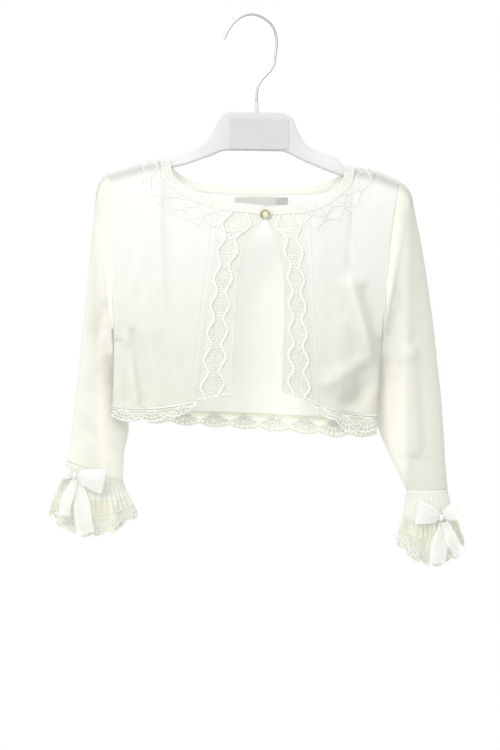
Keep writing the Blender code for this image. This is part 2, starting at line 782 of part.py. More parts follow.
def frill_point(side, top, around, s):
    """A point of the flared frill: s runs from the cuff seam, where it starts at top, to the rim."""
    outer_x, outer_z, inner_x, inner_z, half, sag = FRILL_RIM[side]
    centre_y = SLEEVE_SECTIONS[side][-1][5] * FRILL_LIE_BACK
    angle = 2 * math.pi * around
    f = (1 - math.cos(angle)) / 2
    even, eased, quick = FRILL_FLARE
    spread = even * s + eased * ease(s * quick)
    wave = math.cos(FRILL_WAVES * angle) * FRILL_WAVE_HEIGHT * ease(s * FRILL_WAVE_EASE[0] + FRILL_WAVE_EASE[1])
    outward = math.copysign(1, outer_x - inner_x)
    x = mix(outer_x, inner_x, f) + outward * wave * math.cos(angle)
    y = centre_y - math.sin(angle) * (half + wave)
    notch = FRILL_NOTCH * (1 - abs(math.cos(FRILL_WAVES * angle)) ** FRILL_NOTCH_POWER)
    notch *= ease(s * FRILL_NOTCH_EASE[0] + FRILL_NOTCH_EASE[1])
    z = mix(outer_z, inner_z, f) - sag * abs(math.sin(angle)) ** FRILL_SAG_POWER + notch
    return Vector((mix(top.x, x, spread), mix(top.y, y, spread), mix(top.z - SEAM, z, s)))


def make_frill(name, side, ring):
    """The flared frill under a sleeve. ring is the sleeve's last row, as point and normal pairs."""
    around = FRILL_WAVES * FRILL_WAVE_COLUMNS
    share = len(ring) / around
    tops = []
    for i in range(around):
        k, t = int(i * share), (i * share) % 1
        a, b = ring[k], ring[(k + 1) % len(ring)]
        tops.append((a[0].lerp(b[0], t), a[1].lerp(b[1], t).normalized()))
    grid = [[frill_point(side, tops[i][0], i / around, s) for s in FRILL_ROWS] for i in range(around)]
    middle = sum((p for p, _ in ring), Vector()) / len(ring)
    points, normals = [], []
    last = len(FRILL_ROWS) - 1
    for i in range(around):
        for r in range(last + 1):
            p = grid[i][r]
            if r == 0:
                n = tops[i][1]
            else:
                run = grid[(i + 1) % around][r] - grid[i - 1][r]
                fall = grid[i][min(last, r + 1)] - grid[i][r - 1]
                n = run.cross(fall).normalized()
                away = Vector((p.x - middle.x, p.y - middle.y, 0))
                n = n if n.dot(away) > 0 else -n
            points.append(p)
            normals.append(n)

    def thick(c, r):
        return LACE_WALL + (CUFF_BEAD_RISE if r == CUFF_BEAD_ROW else 0.0)

    wall(name, points, normals, len(FRILL_ROWS), thick, "lace", closed=True)


def make_label(name, x0, x1, top, bottom):
    """A flat woven label on the inside of the back, moved inwards off its points."""
    columns, rows = 4, 2
    points, normals = [], []
    for c in range(columns + 1):
        for r in range(rows + 1):
            x, z = mix(x0, x1, c / columns), mix(top, bottom, r / rows)
            points.append(Vector((x, body_y(BACK, x, z) - SEAM, z)))
            normals.append(Vector((0, -1, 0)))
    wall(name, points, normals, rows + 1, LABEL_WALL, "label")


def make_button():
    x, z = BUTTON_PLACE
    seat = body_y(FRONT, x, z) - LACE_WALL - RIB_RISE - SEAM
    bm = bmesh.new()
    ring = [bm.verts.new((r * BUTTON_RADIUS * MM, 0, h * BUTTON_THICK * MM)) for r, h in BUTTON_PROFILE]
    for a, b in zip(ring, ring[1:]):
        bm.edges.new((a, b))
    obj = add_object("button", bm, "pearl")
    turn = obj.modifiers.new("turn", "SCREW")
    turn.steps = turn.render_steps = 20
    turn.use_merge_vertices = True
    turn.merge_threshold = 0.00001
    turn.use_normal_calculate = True
    obj.rotation_euler = (math.radians(90), 0, 0)
    obj.location = Vector((x, seat, z)) * MM
    bpy.ops.mesh.primitive_torus_add(
        major_radius=LOOP_RADIUS * MM, minor_radius=LOOP_CORD * MM, major_segments=18, minor_segments=5
    )
    loop = bpy.context.object
    loop.name = "button_loop"
    for home in loop.users_collection:
        home.objects.unlink(loop)
    finish_object(loop, "lace")
    loop.rotation_euler = (math.radians(90), 0, 0)
    loop.location = Vector((x, seat - LOOP_CORD, z)) * MM


# Bows on the cuffs


def ribbon_strip(name, path, widths, across):
    """A ribbon along path: across is the direction of its width at each point."""
    points, normals = [], []
    for i, p in enumerate(path):
        ahead = (path[min(len(path) - 1, i + 1)] - path[max(0, i - 1)]).normalized()
        side = (across - ahead * across.dot(ahead)).normalized()
        n = ahead.cross(side).normalized()
        for k in (-0.5, 0.0, 0.5):
            crown = RIBBON_CROWN if k == 0.0 else 0.0
            points.append(p + side * widths[i] * k + n * crown)
            normals.append(n)
    wall(name, points, normals, 3, RIBBON_WALL, "ribbon")


def make_bow(side):
    spec = BOWS[side]
    knot = Vector(spec["knot"])
    for number, (*end, width) in enumerate(spec["loops"], 1):
        end = Vector(end)
        run = end - knot
        length = run.length
        run.normalize()
        across = run.cross(Vector((0, 1, 0)))
        path, widths = [], []
        for i in range(LOOP_STEPS + 1):
            a = math.pi * 2 * i / LOOP_STEPS
            out = mix(LOOP_START, length, (1 - math.cos(a)) / 2)
            lift = -LOOP_OPEN * math.sin(a) * min(1.0, out / length + 0.25)
            path.append(knot + run * out + Vector((0, lift - RIBBON_CROWN * math.cos(a / 2), 0)))
            widths.append(mix(LOOP_PINCH, width, math.sin(a / 2) ** 0.8))
        ribbon_strip(f"bow_loop_{side}_{number}", path, widths, across)
    for number, (*end, width) in enumerate(spec["tails"], 1):
        end = Vector(end)
        start = knot + (end - knot).normalized() * TAIL_START + Vector((0, (1 - number) * TAIL_STAGGER, 0))
        sway, nod = TAIL_WAVE
        path, widths = [], []
        for i in range(TAIL_STEPS + 1):
            t = i / TAIL_STEPS
            p = start.lerp(end, t)
            p.y += nod * (math.sin(t * TAIL_TURN[0] + number) - math.sin(number))
            p.x += sway * math.sin(t * TAIL_TURN[1] + number)
            path.append(p)
            widths.append(mix(TAIL_PINCH, width, min(1.0, t * 2.2)))
        across = (end - start).cross(Vector((0, 1, 0))).normalized()
        ribbon_strip(f"bow_tail_{side}_{number}", path, widths, across)
    bm = bmesh.new()
    bmesh.ops.create_uvsphere(bm, u_segments=10, v_segments=6, radius=1.0)
    ball = add_object(f"bow_knot_{side}", bm, "ribbon")
    ball.data.transform(Matrix.Diagonal([half * MM for half in BOW_KNOT] + [1.0]))
    ball.location = knot * MM


# The hanger


def make_hanger():
    outline = bpy.data.curves.new("hanger_body", "CURVE")
    outline.dimensions = "2D"
    outline.fill_mode = "BOTH"
    outline.extrude = (HANGER_HALF_THICK - HANGER_ROUND) * MM
    outline.bevel_depth = HANGER_ROUND * MM
    outline.bevel_resolution = 1
    outline.offset = -HANGER_ROUND * MM
    spline = outline.splines.new("POLY")
    spline.points.add(len(HANGER_OUTLINE) - 1)
    for point, (x, z) in zip(spline.points, HANGER_OUTLINE):
        point.co = (x * MM, z * MM, 0, 1)
    spline.use_cyclic_u = True
    body = bpy.data.objects.new("hanger_body", outline)
    body.rotation_euler = (math.radians(90), 0, 0)
    finish_object(body, "frosted")
    weld(body)

    route = bpy.data.curves.new("hanger_hook", "CURVE")
    route.dimensions = "3D"
    route.bevel_depth = HOOK_WIRE_RADIUS * MM
    route.bevel_resolution = 2
    route.resolution_u = 2
    route.use_fill_caps = True
    spline = route.splines.new("BEZIER")
    spline.bezier_points.add(len(HOOK_ROUTE) - 1)
    for point, (x, z) in zip(spline.bezier_points, HOOK_ROUTE):
        point.co = (x * MM, 0, z * MM)
        point.handle_left_type = point.handle_right_type = "AUTO"
    hook = bpy.data.objects.new("hanger_hook", route)
    finish_object(hook, "steel")
    weld(hook)

    bpy.ops.mesh.primitive_cylinder_add(
        vertices=16,
        radius=COLLAR_RADIUS * MM,
        depth=(COLLAR_TOP - COLLAR_BOTTOM) * MM,
        location=(COLLAR_X * MM, 0, (COLLAR_TOP + COLLAR_BOTTOM) / 2 * MM),
    )
    collar = bpy.context.object
    collar.name = "hanger_collar"
    for home in collar.users_collection:
        home.objects.unlink(collar)
    finish_object(collar, "frosted")


def weld(obj):
    """Joins a curve's loose caps to its sides."""
    join = obj.modifiers.new("weld", "WELD")
    join.merge_threshold = 0.00001


def make_materials():
    made = {}
    for name, (colour, rough, metal) in COLOURS.items():
        material = bpy.data.materials.new(name)
        material.use_nodes = True
        shader = material.node_tree.nodes["Principled BSDF"]
        shader.inputs["Base Color"].default_value = colour
        shader.inputs["Roughness"].default_value = rough
        shader.inputs["Metallic"].default_value = metal
        made[name] = material
    return made


for old in list(bpy.data.objects):
    bpy.data.objects.remove(old, do_unlink=True)
parts = bpy.data.collections.new("Cardigan on hanger")
bpy.context.scene.collection.children.link(parts)
materials = make_materials()

top_left, bottom_left = make_panel(
    "front_left_view", FRONT, FRONT_COLUMNS["left"], HEM_LINE["left"], one_side("left")
)
top_right, bottom_right = make_panel(
    "front_right_view", FRONT, FRONT_COLUMNS["right"], HEM_LINE["right"], one_side("right")
)
top_back, bottom_back = make_panel("back", BACK, BACK_COLUMNS, HEM_LINE["back"], both_sides)
border_left = make_border("border_left_view", "left")
border_right = make_border("border_right_view", "right")
neck_front_left = top_left[NECK_CORNERS["front"]:]
neck_back = top_back[slice(*NECK_CORNERS["back"])]
neck_front_right = top_right[NECK_CORNERS["front"]:]
make_neck_edging(
    border_left[::-1] + neck_front_left[::-1] + neck_back + neck_front_right + border_right
)
make_hem_lace("hem_lace_left_view", bottom_left, "left")
make_hem_lace("hem_lace_right_view", bottom_right, "right")
make_hem_lace("hem_lace_back", bottom_back, "back")
for view in ("left", "right"):
    cuff_ring = make_sleeve(f"sleeve_{view}_view", view)
    make_frill(f"frill_{view}_view", view, cuff_ring)
    make_bow(view)
make_label("label", *LABEL_MAIN)
make_label("size_tab", *LABEL_TAB)
make_button()
make_hanger()
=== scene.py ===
"""Child's cropped cardigan in fine ivory knit on a frosted hanger: the looks of each of its pieces.

The file is laid out as an add-on and is run as a script. Tables are in millimetres, in the frame of the whole
object: X to the viewer's right, Z up, the front of the garment towards -Y, the origin under the crown of the
hook. "Left" and "right" are the viewer's. Each piece of cloth is a thin wall over the same form as its solid.
"""

import functools
import math

import bpy
import numpy as np
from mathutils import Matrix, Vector


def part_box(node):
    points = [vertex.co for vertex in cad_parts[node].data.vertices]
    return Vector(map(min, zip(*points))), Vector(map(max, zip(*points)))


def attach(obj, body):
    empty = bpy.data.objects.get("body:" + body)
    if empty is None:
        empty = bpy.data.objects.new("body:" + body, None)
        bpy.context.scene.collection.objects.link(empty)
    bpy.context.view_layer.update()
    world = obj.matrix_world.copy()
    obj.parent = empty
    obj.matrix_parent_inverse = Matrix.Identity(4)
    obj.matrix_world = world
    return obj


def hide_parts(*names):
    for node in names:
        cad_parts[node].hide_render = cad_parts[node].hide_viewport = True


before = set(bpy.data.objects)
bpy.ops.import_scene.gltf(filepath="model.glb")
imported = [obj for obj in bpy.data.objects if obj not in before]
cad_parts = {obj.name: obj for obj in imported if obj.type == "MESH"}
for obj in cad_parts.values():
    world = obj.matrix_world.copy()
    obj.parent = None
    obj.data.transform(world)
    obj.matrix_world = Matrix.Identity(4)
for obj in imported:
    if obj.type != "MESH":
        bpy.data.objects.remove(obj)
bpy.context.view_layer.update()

bl_info = {
    "name": "Knit cardigan on hanger",
    "version": (1, 0, 0),
    "blender": (4, 5, 0),
    "location": "View3D > Sidebar > Cardigan",
    "description": "Builds the knitted, lace and hanger surfaces of a child's cardigan around its frame",
    "category": "Object",
}

MM = 0.001
SEAM = 0.3
FRONT = -1
BACK = 1
KNIT_WALL = 1.6
LACE_WALL = 1.4
LABEL_WALL = 0.7

# Form of the body

ARMHOLE_DEPTH = 14.0
CHEST_DEPTH = {FRONT: 24.0, BACK: 22.0}
DEPTH_RAMP = 120.0
ARMHOLE_HEIGHT = 185.0
SHOULDER_ROUND = 3.5
CENTRE_X = 3.0
UNDERARM_Z = {"left": -356.4, "right": -357.5}
UNDERARM_FADE = 60.0
SHOULDER_LINE = (  # x, z of the cloth's inner side along both shoulders
    (-155.1, -172.7), (-135.3, -167.2), (-118.8, -162.8), (-99.0, -158.4), (-60.0, -150.0), (75.0, -159.0),
    (113.3, -167.2), (137.5, -171.6), (161.7, -182.1),
)
SIDE_LINE = {  # z, x of the armhole and the side seam below it, from the top down
    "left": ((-172.7, -155.1), (-240.0, -152.0), (-300.0, -150.0), (-356.4, -149.2), (-446.0, -151.4)),
    "right": ((-182.1, 161.7), (-240.0, 153.0), (-301.4, 146.8), (-357.5, 142.4), (-446.0, 136.2)),
}

# Columns of each panel: x and z on the top edge, x on the hem edge.
FRONT_COLUMNS = {
    "left": (
        (-155.1, -172.7, -151.2), (-154.4, -172.5, -150.5), (-152.0, -171.8, -148.2),
        (-147.0, -170.5, -143.6), (-139.0, -168.2, -136.6), (-127.0, -165.0, -127.4),
        (-113.0, -161.5, -117.2), (-99.0, -158.4, -106.5), (-98.8, -159.4, -102.2), (-98.4, -161.6, -98.2),
        (-97.6, -165.8, -94.0), (-95.7, -177.1, -88.6), (-86.4, -189.8, -82.0), (-72.1, -199.1, -75.0),
        (-51.7, -208.5, -67.2), (-33.0, -215.1, -59.4),
    ),
    "right": (
        (161.7, -182.1, 136.4), (161.0, -181.7, 135.8), (158.6, -180.6, 133.8), (153.8, -178.6, 130.0),
        (146.3, -175.3, 124.4), (137.5, -171.6, 117.4), (125.4, -169.4, 110.0), (113.3, -167.2, 102.6),
        (113.1, -168.2, 99.6), (112.7, -170.4, 96.6), (112.0, -174.6, 93.4), (110.0, -183.6, 88.6),
        (102.3, -193.6, 84.0), (89.1, -204.6, 79.0), (73.7, -213.4, 73.0), (56.1, -218.4, 67.1),
    ),
}
BACK_COLUMNS = (
    (-155.1, -172.7, -151.2), (-154.4, -172.5, -150.5), (-152.0, -171.8, -148.2), (-147.0, -170.5, -143.6),
    (-135.3, -167.2, -133.0), (-118.8, -162.8, -120.0), (-99.0, -158.4, -107.0), (-98.8, -159.4, -99.0),
    (-98.4, -161.6, -91.0), (-97.0, -165.8, -83.0), (-92.6, -173.2, -74.0), (-77.0, -185.6, -60.0),
    (-50.0, -192.8, -40.0), (6.6, -195.8, 0.0), (64.0, -194.8, 40.0), (92.0, -188.6, 58.0),
    (107.6, -179.4, 71.0), (111.6, -174.0, 79.0), (112.7, -170.4, 87.0), (113.1, -168.2, 94.0),
    (113.3, -167.2, 101.0), (125.4, -169.4, 109.0), (137.5, -171.6, 117.4), (146.3, -175.3, 124.4),
    (153.8, -178.6, 130.0), (158.6, -180.7, 133.8), (161.0, -181.8, 135.8), (161.7, -182.1, 136.4),
)
NECK_CORNER = 7  # column of a front panel where the shoulder ends at the neck
BACK_NECK = (6, 20)  # columns of the back where the neck begins and ends
HEM_LINE = {  # x, z of the lower edge of the plain knit
    "left": ((-151.2, -427.9), (-133.1, -430.7), (-111.1, -430.7), (-83.6, -427.9), (-59.4, -423.5)),
    "right": ((67.1, -424.6), (86.9, -431.2), (103.4, -435.6), (119.9, -437.8), (136.4, -438.9)),
    "back": ((-151.2, -431.2), (-78.1, -434.5), (-12.1, -436.7), (53.9, -440.0), (136.4, -444.4)),
}
LACE_DEPTH = {  # x, depth of the scalloped lace below that edge
    "left": ((-151.2, 14.0), (-133.1, 15.0), (-100.1, 15.0), (-83.6, 13.5), (-67.1, 9.5), (-59.4, 5.0)),
    "right": ((67.1, 6.0), (86.9, 13.0), (103.4, 19.0), (111.1, 22.0), (125.4, 19.5), (136.4, 17.0)),
    "back": ((-151.2, 13.5), (-78.1, 15.5), (-12.1, 17.5), (56.1, 19.0), (97.9, 21.5), (136.4, 18.0)),
}
SCALLOPS = {"left": 3, "right": 3, "back": 9}
SCALLOP_NOTCH = 4.5
SCALLOP_LEAST = 0.45

FRONT_EDGE = {  # z, x of the free front edge, from the button down
    "left": (
        (-220.3, 15.2), (-225.5, 13.6), (-235.4, 6.6), (-246.4, -2.6), (-257.4, -6.8), (-268.4, -11.0),
        (-290.4, -14.6), (-345.4, -18.7), (-383.9, -20.4), (-416.9, -21.5),
    ),
    "right": (
        (-220.6, 15.8), (-225.5, 17.1), (-235.4, 20.0), (-244.2, 25.3), (-257.4, 29.7), (-281.6, 34.1),
        (-301.4, 35.8), (-334.4, 35.8), (-367.4, 34.7), (-412.5, 33.0),
    ),
}
BORDER_DIAMONDS = 7
DIAMOND_CENTRE = 0.43
DIAMOND_WIDE = 0.36
DIAMOND_NARROW = 0.17
NECK_EDGING_WIDTH = 9.0
NECK_CENTRE = (7.0, 0.0, -140.0)
BUTTON_PLACE = (15.5, -220.0)

# Sleeve sections: outer x, outer z, inner x, inner z, half depth, how far back the section lies.
SLEEVE_SECTIONS = {
    "left": (
        (-155.4, -172.9, -149.6, -344.0, 14.0, 0.0), (-162.2, -177.1, -153.0, -350.0, 14.0, 1.0),
        (-166.7, -185.9, -153.0, -357.0, 13.5, 3.0), (-169.4, -198.0, -152.4, -365.0, 13.0, 6.0),
        (-171.9, -218.9, -151.8, -374.0, 13.0, 9.0), (-174.9, -251.9, -151.0, -384.0, 13.0, 13.0),
        (-179.3, -295.9, -150.6, -398.0, 13.0, 18.0), (-184.3, -345.4, -147.8, -416.0, 13.0, 22.0),
        (-189.2, -394.9, -138.5, -436.0, 13.5, 24.0), (-194.2, -438.9, -137.5, -457.0, 14.0, 23.0),
        (-198.0, -471.9, -142.6, -482.0, 14.0, 20.0), (-201.8, -489.5, -143.4, -511.5, 14.0, 17.0),
    ),
    "right": (
        (162.0, -182.4, 143.0, -345.0, 14.0, 0.0), (168.3, -187.0, 145.2, -351.0, 14.0, 1.0),
        (173.8, -194.7, 144.8, -358.0, 13.5, 3.0), (177.7, -209.0, 143.6, -366.0, 13.0, 6.0),
        (181.5, -228.8, 142.4, -375.0, 13.0, 9.0), (186.5, -253.0, 141.2, -385.0, 13.0, 13.0),
        (192.5, -290.4, 139.8, -398.0, 13.0, 17.0), (198.8, -334.4, 137.4, -414.0, 13.0, 21.0),
        (204.3, -383.9, 137.0, -434.0, 13.5, 22.0), (208.7, -427.9, 144.1, -457.6, 14.0, 20.0),
        (211.2, -466.4, 154.0, -481.0, 14.0, 18.0), (213.1, -497.2, 164.6, -503.0, 14.0, 16.0),
        (215.1, -520.3, 173.4, -521.4, 14.0, 14.0),
    ),
}
SLEEVE_ROUNDING = 6.0
SLEEVE_TOP_BACK = 0.35
ARMHOLE_CLEAR = 0.45
ARMHOLE_PINCH = 5.0
UNDERARM_SPREAD = (0.78, 0.16, 0.35)

FRILL_RIM = {  # x and z of the rim's outer and inner ends, its half depth, its sag in the middle
    "left": (-219.0, -551.0, -128.5, -549.0, 27.0, 22.0),
    "right": (231.0, -584.0, 164.0, -580.0, 27.0, 22.0),
}
FRILL_WAVES = 9
FRILL_WAVE_HEIGHT = 3.2
FRILL_NOTCH = 3.5
FRILL_LIE_BACK = 0.8

# Soft folds: x and z of both ends, half width, rise towards the viewer (negative is a trough).
FRONT_FOLDS = (
    (-139.0, -318.0, -124.0, -334.0, 14.0, 0.9), (-136.0, -368.0, -139.0, -426.0, 5.0, -3.2),
    (-130.0, -350.0, -118.0, -424.0, 7.0, -4.0), (-112.0, -350.0, -104.0, -428.0, 9.0, 2.4),
    (111.0, -300.0, 130.0, -372.0, 6.0, 3.4), (122.0, -392.0, 118.0, -434.0, 10.0, -5.5),
    (100.0, -340.0, 96.0, -432.0, 9.0, 2.2), (-88.0, -250.0, -96.0, -330.0, 14.0, -0.5),
    (90.0, -240.0, 84.0, -350.0, 14.0, -0.5),
)
BACK_FOLDS = (
    (-128.0, -340.0, -118.0, -430.0, 8.0, -3.0), (-90.0, -300.0, -96.0, -432.0, 12.0, 2.4),
    (-30.0, -330.0, -22.0, -434.0, 14.0, -2.6), (30.0, -320.0, 24.0, -436.0, 14.0, 2.4),
    (84.0, -300.0, 96.0, -438.0, 12.0, -2.8), (122.0, -340.0, 118.0, -440.0, 9.0, 2.6),
)
SLEEVE_FOLDS = {
    "left": (
        (-158.0, -322.0, -170.0, -350.0, 7.0, -2.6), (-162.0, -378.0, -182.0, -394.0, 7.0, 2.2),
        (-166.0, -400.0, -160.0, -470.0, 9.0, 2.2), (-184.0, -452.0, -158.0, -476.0, 6.0, -2.0),
    ),
    "right": (
        (156.0, -330.0, 176.0, -356.0, 7.0, -2.6), (152.0, -301.0, 176.0, -372.0, 7.0, 3.4),
        (176.0, -372.0, 180.0, -478.0, 7.0, 3.2), (164.0, -388.0, 160.0, -450.0, 7.0, -2.2),
    ),
}

# Small creases that only the surface has, in the same form.
FRONT_CREASES = (
    (-150.0, -366.0, -146.0, -390.0, 6.0, -3.0), (-147.0, -384.0, -137.0, -420.0, 6.0, -3.0),
    (-136.0, -352.0, -126.0, -424.0, 5.0, 2.6), (-118.0, -362.0, -108.0, -418.0, 6.0, -1.6),
    (-128.0, -404.0, -96.0, -424.0, 4.0, 0.9), (-84.0, -360.0, -76.0, -424.0, 6.0, 0.7),
    (-110.0, -226.0, -128.0, -300.0, 6.0, 0.8), (-132.0, -262.0, -120.0, -306.0, 4.0, -0.9),
    (106.0, -296.0, 127.0, -362.0, 8.0, 4.6), (124.0, -304.0, 142.0, -352.0, 8.0, -4.0),
    (132.0, -374.0, 84.0, -404.0, 8.0, 5.0), (104.0, -426.0, 136.0, -404.0, 10.0, -9.0),
    (88.0, -340.0, 94.0, -392.0, 6.0, 0.8), (74.0, -262.0, 78.0, -330.0, 7.0, 0.5),
    (104.0, -236.0, 124.0, -292.0, 5.0, 0.9),
)
BACK_CREASES = (
    (-110.0, -240.0, -132.0, -330.0, 5.0, 0.8), (-60.0, -280.0, -66.0, -400.0, 7.0, 0.7),
    (4.0, -240.0, 0.0, -390.0, 9.0, -0.6), (62.0, -270.0, 60.0, -400.0, 7.0, 0.8),
    (110.0, -250.0, 126.0, -350.0, 5.0, -0.9),
)
SLEEVE_CREASES = {
    "left": (
        (-160.0, -342.0, -176.0, -362.0, 3.0, -0.9), (-156.0, -372.0, -172.0, -378.0, 3.0, 0.8),
        (-176.0, -410.0, -150.0, -428.0, 4.0, -0.8), (-186.0, -430.0, -164.0, -452.0, 4.0, 0.9),
        (-172.0, -470.0, -150.0, -492.0, 3.4, 0.9),
    ),
    "right": (
        (150.0, -346.0, 172.0, -362.0, 3.0, -0.9), (160.0, -368.0, 190.0, -392.0, 4.0, 0.7),
        (186.0, -404.0, 192.0, -470.0, 5.0, -0.8), (160.0, -452.0, 184.0, -472.0, 4.0, 0.8),
        (172.0, -486.0, 204.0, -492.0, 3.4, -0.7),
    ),
}

BOWS = {  # knot x, y, z; the end's x, y, z of each loop and tail, and the ribbon's width there
    "left": {
        "knot": (-193.0, -9.6, -505.0),
        "loops": ((-215.0, -9.6, -501.0, 15.0), (-161.0, -13.4, -512.0, 27.0)),
        "tails": ((-177.5, -20.0, -568.0, 18.5), (-203.0, -19.0, -548.0, 12.0)),
    },
    "right": {
        "knot": (208.0, -14.2, -551.0),
        "loops": ((182.5, -14.2, -545.0, 26.0), (226.5, -14.2, -542.0, 21.0)),
        "tails": ((204.5, -22.5, -600.0, 18.0), (228.5, -20.0, -590.0, 13.0)),
    },
}
LABEL_MAIN = (-17.6, 27.3, -197.6, -211.6)
LABEL_TAB = (27.7, 40.7, -198.4, -210.4)

HOOK_ROUTE = (
    (-29.7, -25.3), (-24.2, -14.3), (-14.3, -3.3), (-3.3, 1.4), (6.6, 0.8), (15.2, -3.3), (23.5, -11.0),
    (27.1, -20.2), (28.3, -30.1), (27.1, -41.4), (25.4, -52.6), (22.2, -58.9), (15.2, -66.6), (9.6, -73.6),
    (7.5, -79.2), (6.4, -87.7), (6.2, -94.4),
)
HOOK_WIRE_RADIUS = 1.45
HANGER_PLATE = (  # outline of the flat head and both arms
    (-28.6, -105.6), (36.3, -106.7), (46.2, -112.9), (51.7, -128.3), (59.4, -140.8), (67.1, -146.3),
    (94.0, -156.0), (99.5, -162.6), (104.5, -168.0), (113.3, -169.6), (137.5, -174.0), (146.3, -178.0),
    (160.0, -184.2), (164.6, -188.4), (163.2, -193.2), (157.0, -193.0), (143.0, -186.8), (130.0, -182.4),
    (102.3, -177.4), (78.1, -168.2), (54.5, -158.2), (43.2, -151.8), (34.8, -148.8), (-27.0, -147.9),
    (-33.1, -149.0), (-45.1, -154.3), (-70.4, -163.0), (-92.0, -168.4), (-120.0, -174.4), (-145.0, -181.4),
    (-154.0, -184.0), (-158.2, -181.4), (-156.6, -176.8), (-135.3, -169.7), (-118.8, -165.3),
    (-99.0, -160.9), (-89.0, -158.9), (-87.2, -153.0), (-57.8, -143.8), (-50.6, -139.7), (-44.0, -129.8),
    (-35.2, -112.9),
)
HANGER_PANEL = (-25.3, 41.8, -112.9, -147.6)  # raised field on the head: x from, x to, z top, z bottom
HANGER_HALF_THICK = 5.0
HANGER_ROUND = 2.2


PANELS = {  # face, columns, and each side seam with the column that it lies on
    "left": (FRONT, FRONT_COLUMNS["left"], (("left", 0),)),
    "right": (FRONT, FRONT_COLUMNS["right"], (("right", 0),)),
    "back": (BACK, BACK_COLUMNS, (("left", 0), ("right", -1))),
}

# Settings


def colour_setting(name, description, *default):
    return bpy.props.FloatVectorProperty(name=name, description=description, default=default, subtype="COLOR")


def length_setting(name, description, default, **more):
    return bpy.props.FloatProperty(name=name, description=description, default=default, unit="LENGTH", **more)


class KnitSettings(bpy.types.PropertyGroup):
    """Stitch sizes and colours of the cloth."""

    wale: length_setting("Wale", "Width of one column of stitches", 0.0015, precision=4)
    course: length_setting("Course", "Height of one row of stitches", 0.0011, precision=4)
    knit: colour_setting("Knit", "Colour of the plain knit", 0.875, 0.882, 0.838)
    # Partly painted light: the sleeves' knit is yellower than the body's, and also painted lighter for their
    # inner side, which the body shades.
    sleeve: colour_setting("Sleeves", "Colour of the sleeves' knit", 0.965, 0.957, 0.855)
    yarn: colour_setting("Lace yarn", "Colour of the raised lace yarn", 0.96, 0.96, 0.92)
    # Painted light: the back's knit is painted lighter than the fronts', for its inside, which the fronts
    # shade.
    back: colour_setting("Back", "Colour of the back's knit", 0.985, 0.985, 0.965)
    ground: colour_setting("Lace ground", "Colour of the lace between its yarns", 0.87, 0.875, 0.80)
    ribbon: colour_setting("Ribbon", "Colour of the sheer bows", 0.945, 0.953, 0.93)


class FittingSettings(bpy.types.PropertyGroup):
    """Colours of the button, the labels and the hanger."""

    pearl: colour_setting("Pearl", "Colour of the button's face", 0.62, 0.58, 0.38)
    pearl_rim: colour_setting("Pearl rim", "Colour of the button's rim", 0.26, 0.24, 0.10)
    label: colour_setting("Label", "Colour of the woven labels", 0.77, 0.79, 0.75)
    plastic: colour_setting("Hanger", "Colour of the frosted plastic", 0.695, 0.705, 0.69)
    steel: colour_setting("Hook", "Colour of the hook's wire", 0.5, 0.5, 0.49)


class StageSettings(bpy.types.PropertyGroup):
    """Camera, floor and light."""

    distance: length_setting("Camera distance", "From the lens to the garment", 2.2)
    view_height: length_setting("View height", "Height of the garment's plane that the picture shows", 0.825)
    view_centre: bpy.props.FloatVectorProperty(
        name="View centre", description="Point in the middle of the picture", default=(-0.0011, 0.0, -0.395),
        subtype="TRANSLATION",
    )
    surround: bpy.props.FloatProperty(
        name="Surround", description="Brightness of the white surround", default=1.0, min=0.0
    )
    key: bpy.props.FloatProperty(
        name="Key light", description="Power of the large light above the camera", default=23.5, unit="POWER"
    )
    floor: colour_setting("Floor", "Colour of the floor", 0.6, 0.6, 0.6)


def looks():
    """The settings of this file on the current scene."""
    return bpy.context.scene.cardigan_looks


class CardiganLooks(bpy.types.PropertyGroup):
    """All settings of the cardigan."""

    cloth: bpy.props.PointerProperty(type=KnitSettings)
    fittings: bpy.props.PointerProperty(type=FittingSettings)
    stage: bpy.props.PointerProperty(type=StageSettings)


# Curves and small helpers


def smooth(rows, key, column=1, key_column=0):
    """A table's column at key, on a smooth curve through its rows that never overshoots them."""
    k = np.array([row[key_column] for row in rows], float)
    v = np.array([row[column] for row in rows], float)
    if k[0] > k[-1]:
        k, v = k[::-1], v[::-1]
    slope = np.diff(v) / np.diff(k)
    turn = slope[:-1] * slope[1:]
    same = turn > 0
    middle = np.where(same, 2 * turn / np.where(same, slope[:-1] + slope[1:], 1.0), 0.0)
    m = np.concatenate([slope[:1], middle, slope[-1:]])
    key = np.clip(key, k[0], k[-1])
    n = np.clip(np.searchsorted(k, key, side="right") - 1, 0, len(k) - 2)
    h = k[n + 1] - k[n]
    t = (key - k[n]) / h
    return (
        (2 * t**3 - 3 * t**2 + 1) * v[n]
        + (t**3 - 2 * t**2 + t) * h * m[n]
        + (3 * t**2 - 2 * t**3) * v[n + 1]
        + (t**3 - t**2) * h * m[n + 1]
    )


def linear(rows, key):
    """The second column of a table at key, on straight lines."""
    ordered = np.array(sorted(rows))
    return np.interp(key, ordered[:, 0], ordered[:, 1])


def ease(t):
    t = np.clip(t, 0.0, 1.0)
    return t * t * (3 - 2 * t)


def mix(a, b, t):
    return a + (b - a) * t


def stack(*parts):
    """Points or flat coordinates from their parts, which may differ in how many they hold."""
    return np.stack(np.broadcast_arrays(*parts), axis=-1)


def unit(v):
    return v / np.maximum(np.linalg.norm(v, axis=-1, keepdims=True), 1e-9)


def shade(colour, share=1.0):
    """A colour as a plain tuple, darker where share is less than 1."""
    return tuple(share * c for c in colour)


def between(first, second, share):
    """A colour that lies a share of the way from the first to the second."""
    return tuple(mix(np.array(first), np.array(second), share))


def run_along(points):
    """How far along a line of points each of them lies."""
    return np.concatenate([[0.0], np.cumsum(np.linalg.norm(np.diff(points, axis=0), axis=1))])


def even_shares(points, count):
    """Shares of the way along a line of points, evenly spaced by its real length."""
    length = run_along(points)
    return np.interp(np.linspace(0, length[-1], count), length, np.linspace(0, 1, len(points)))


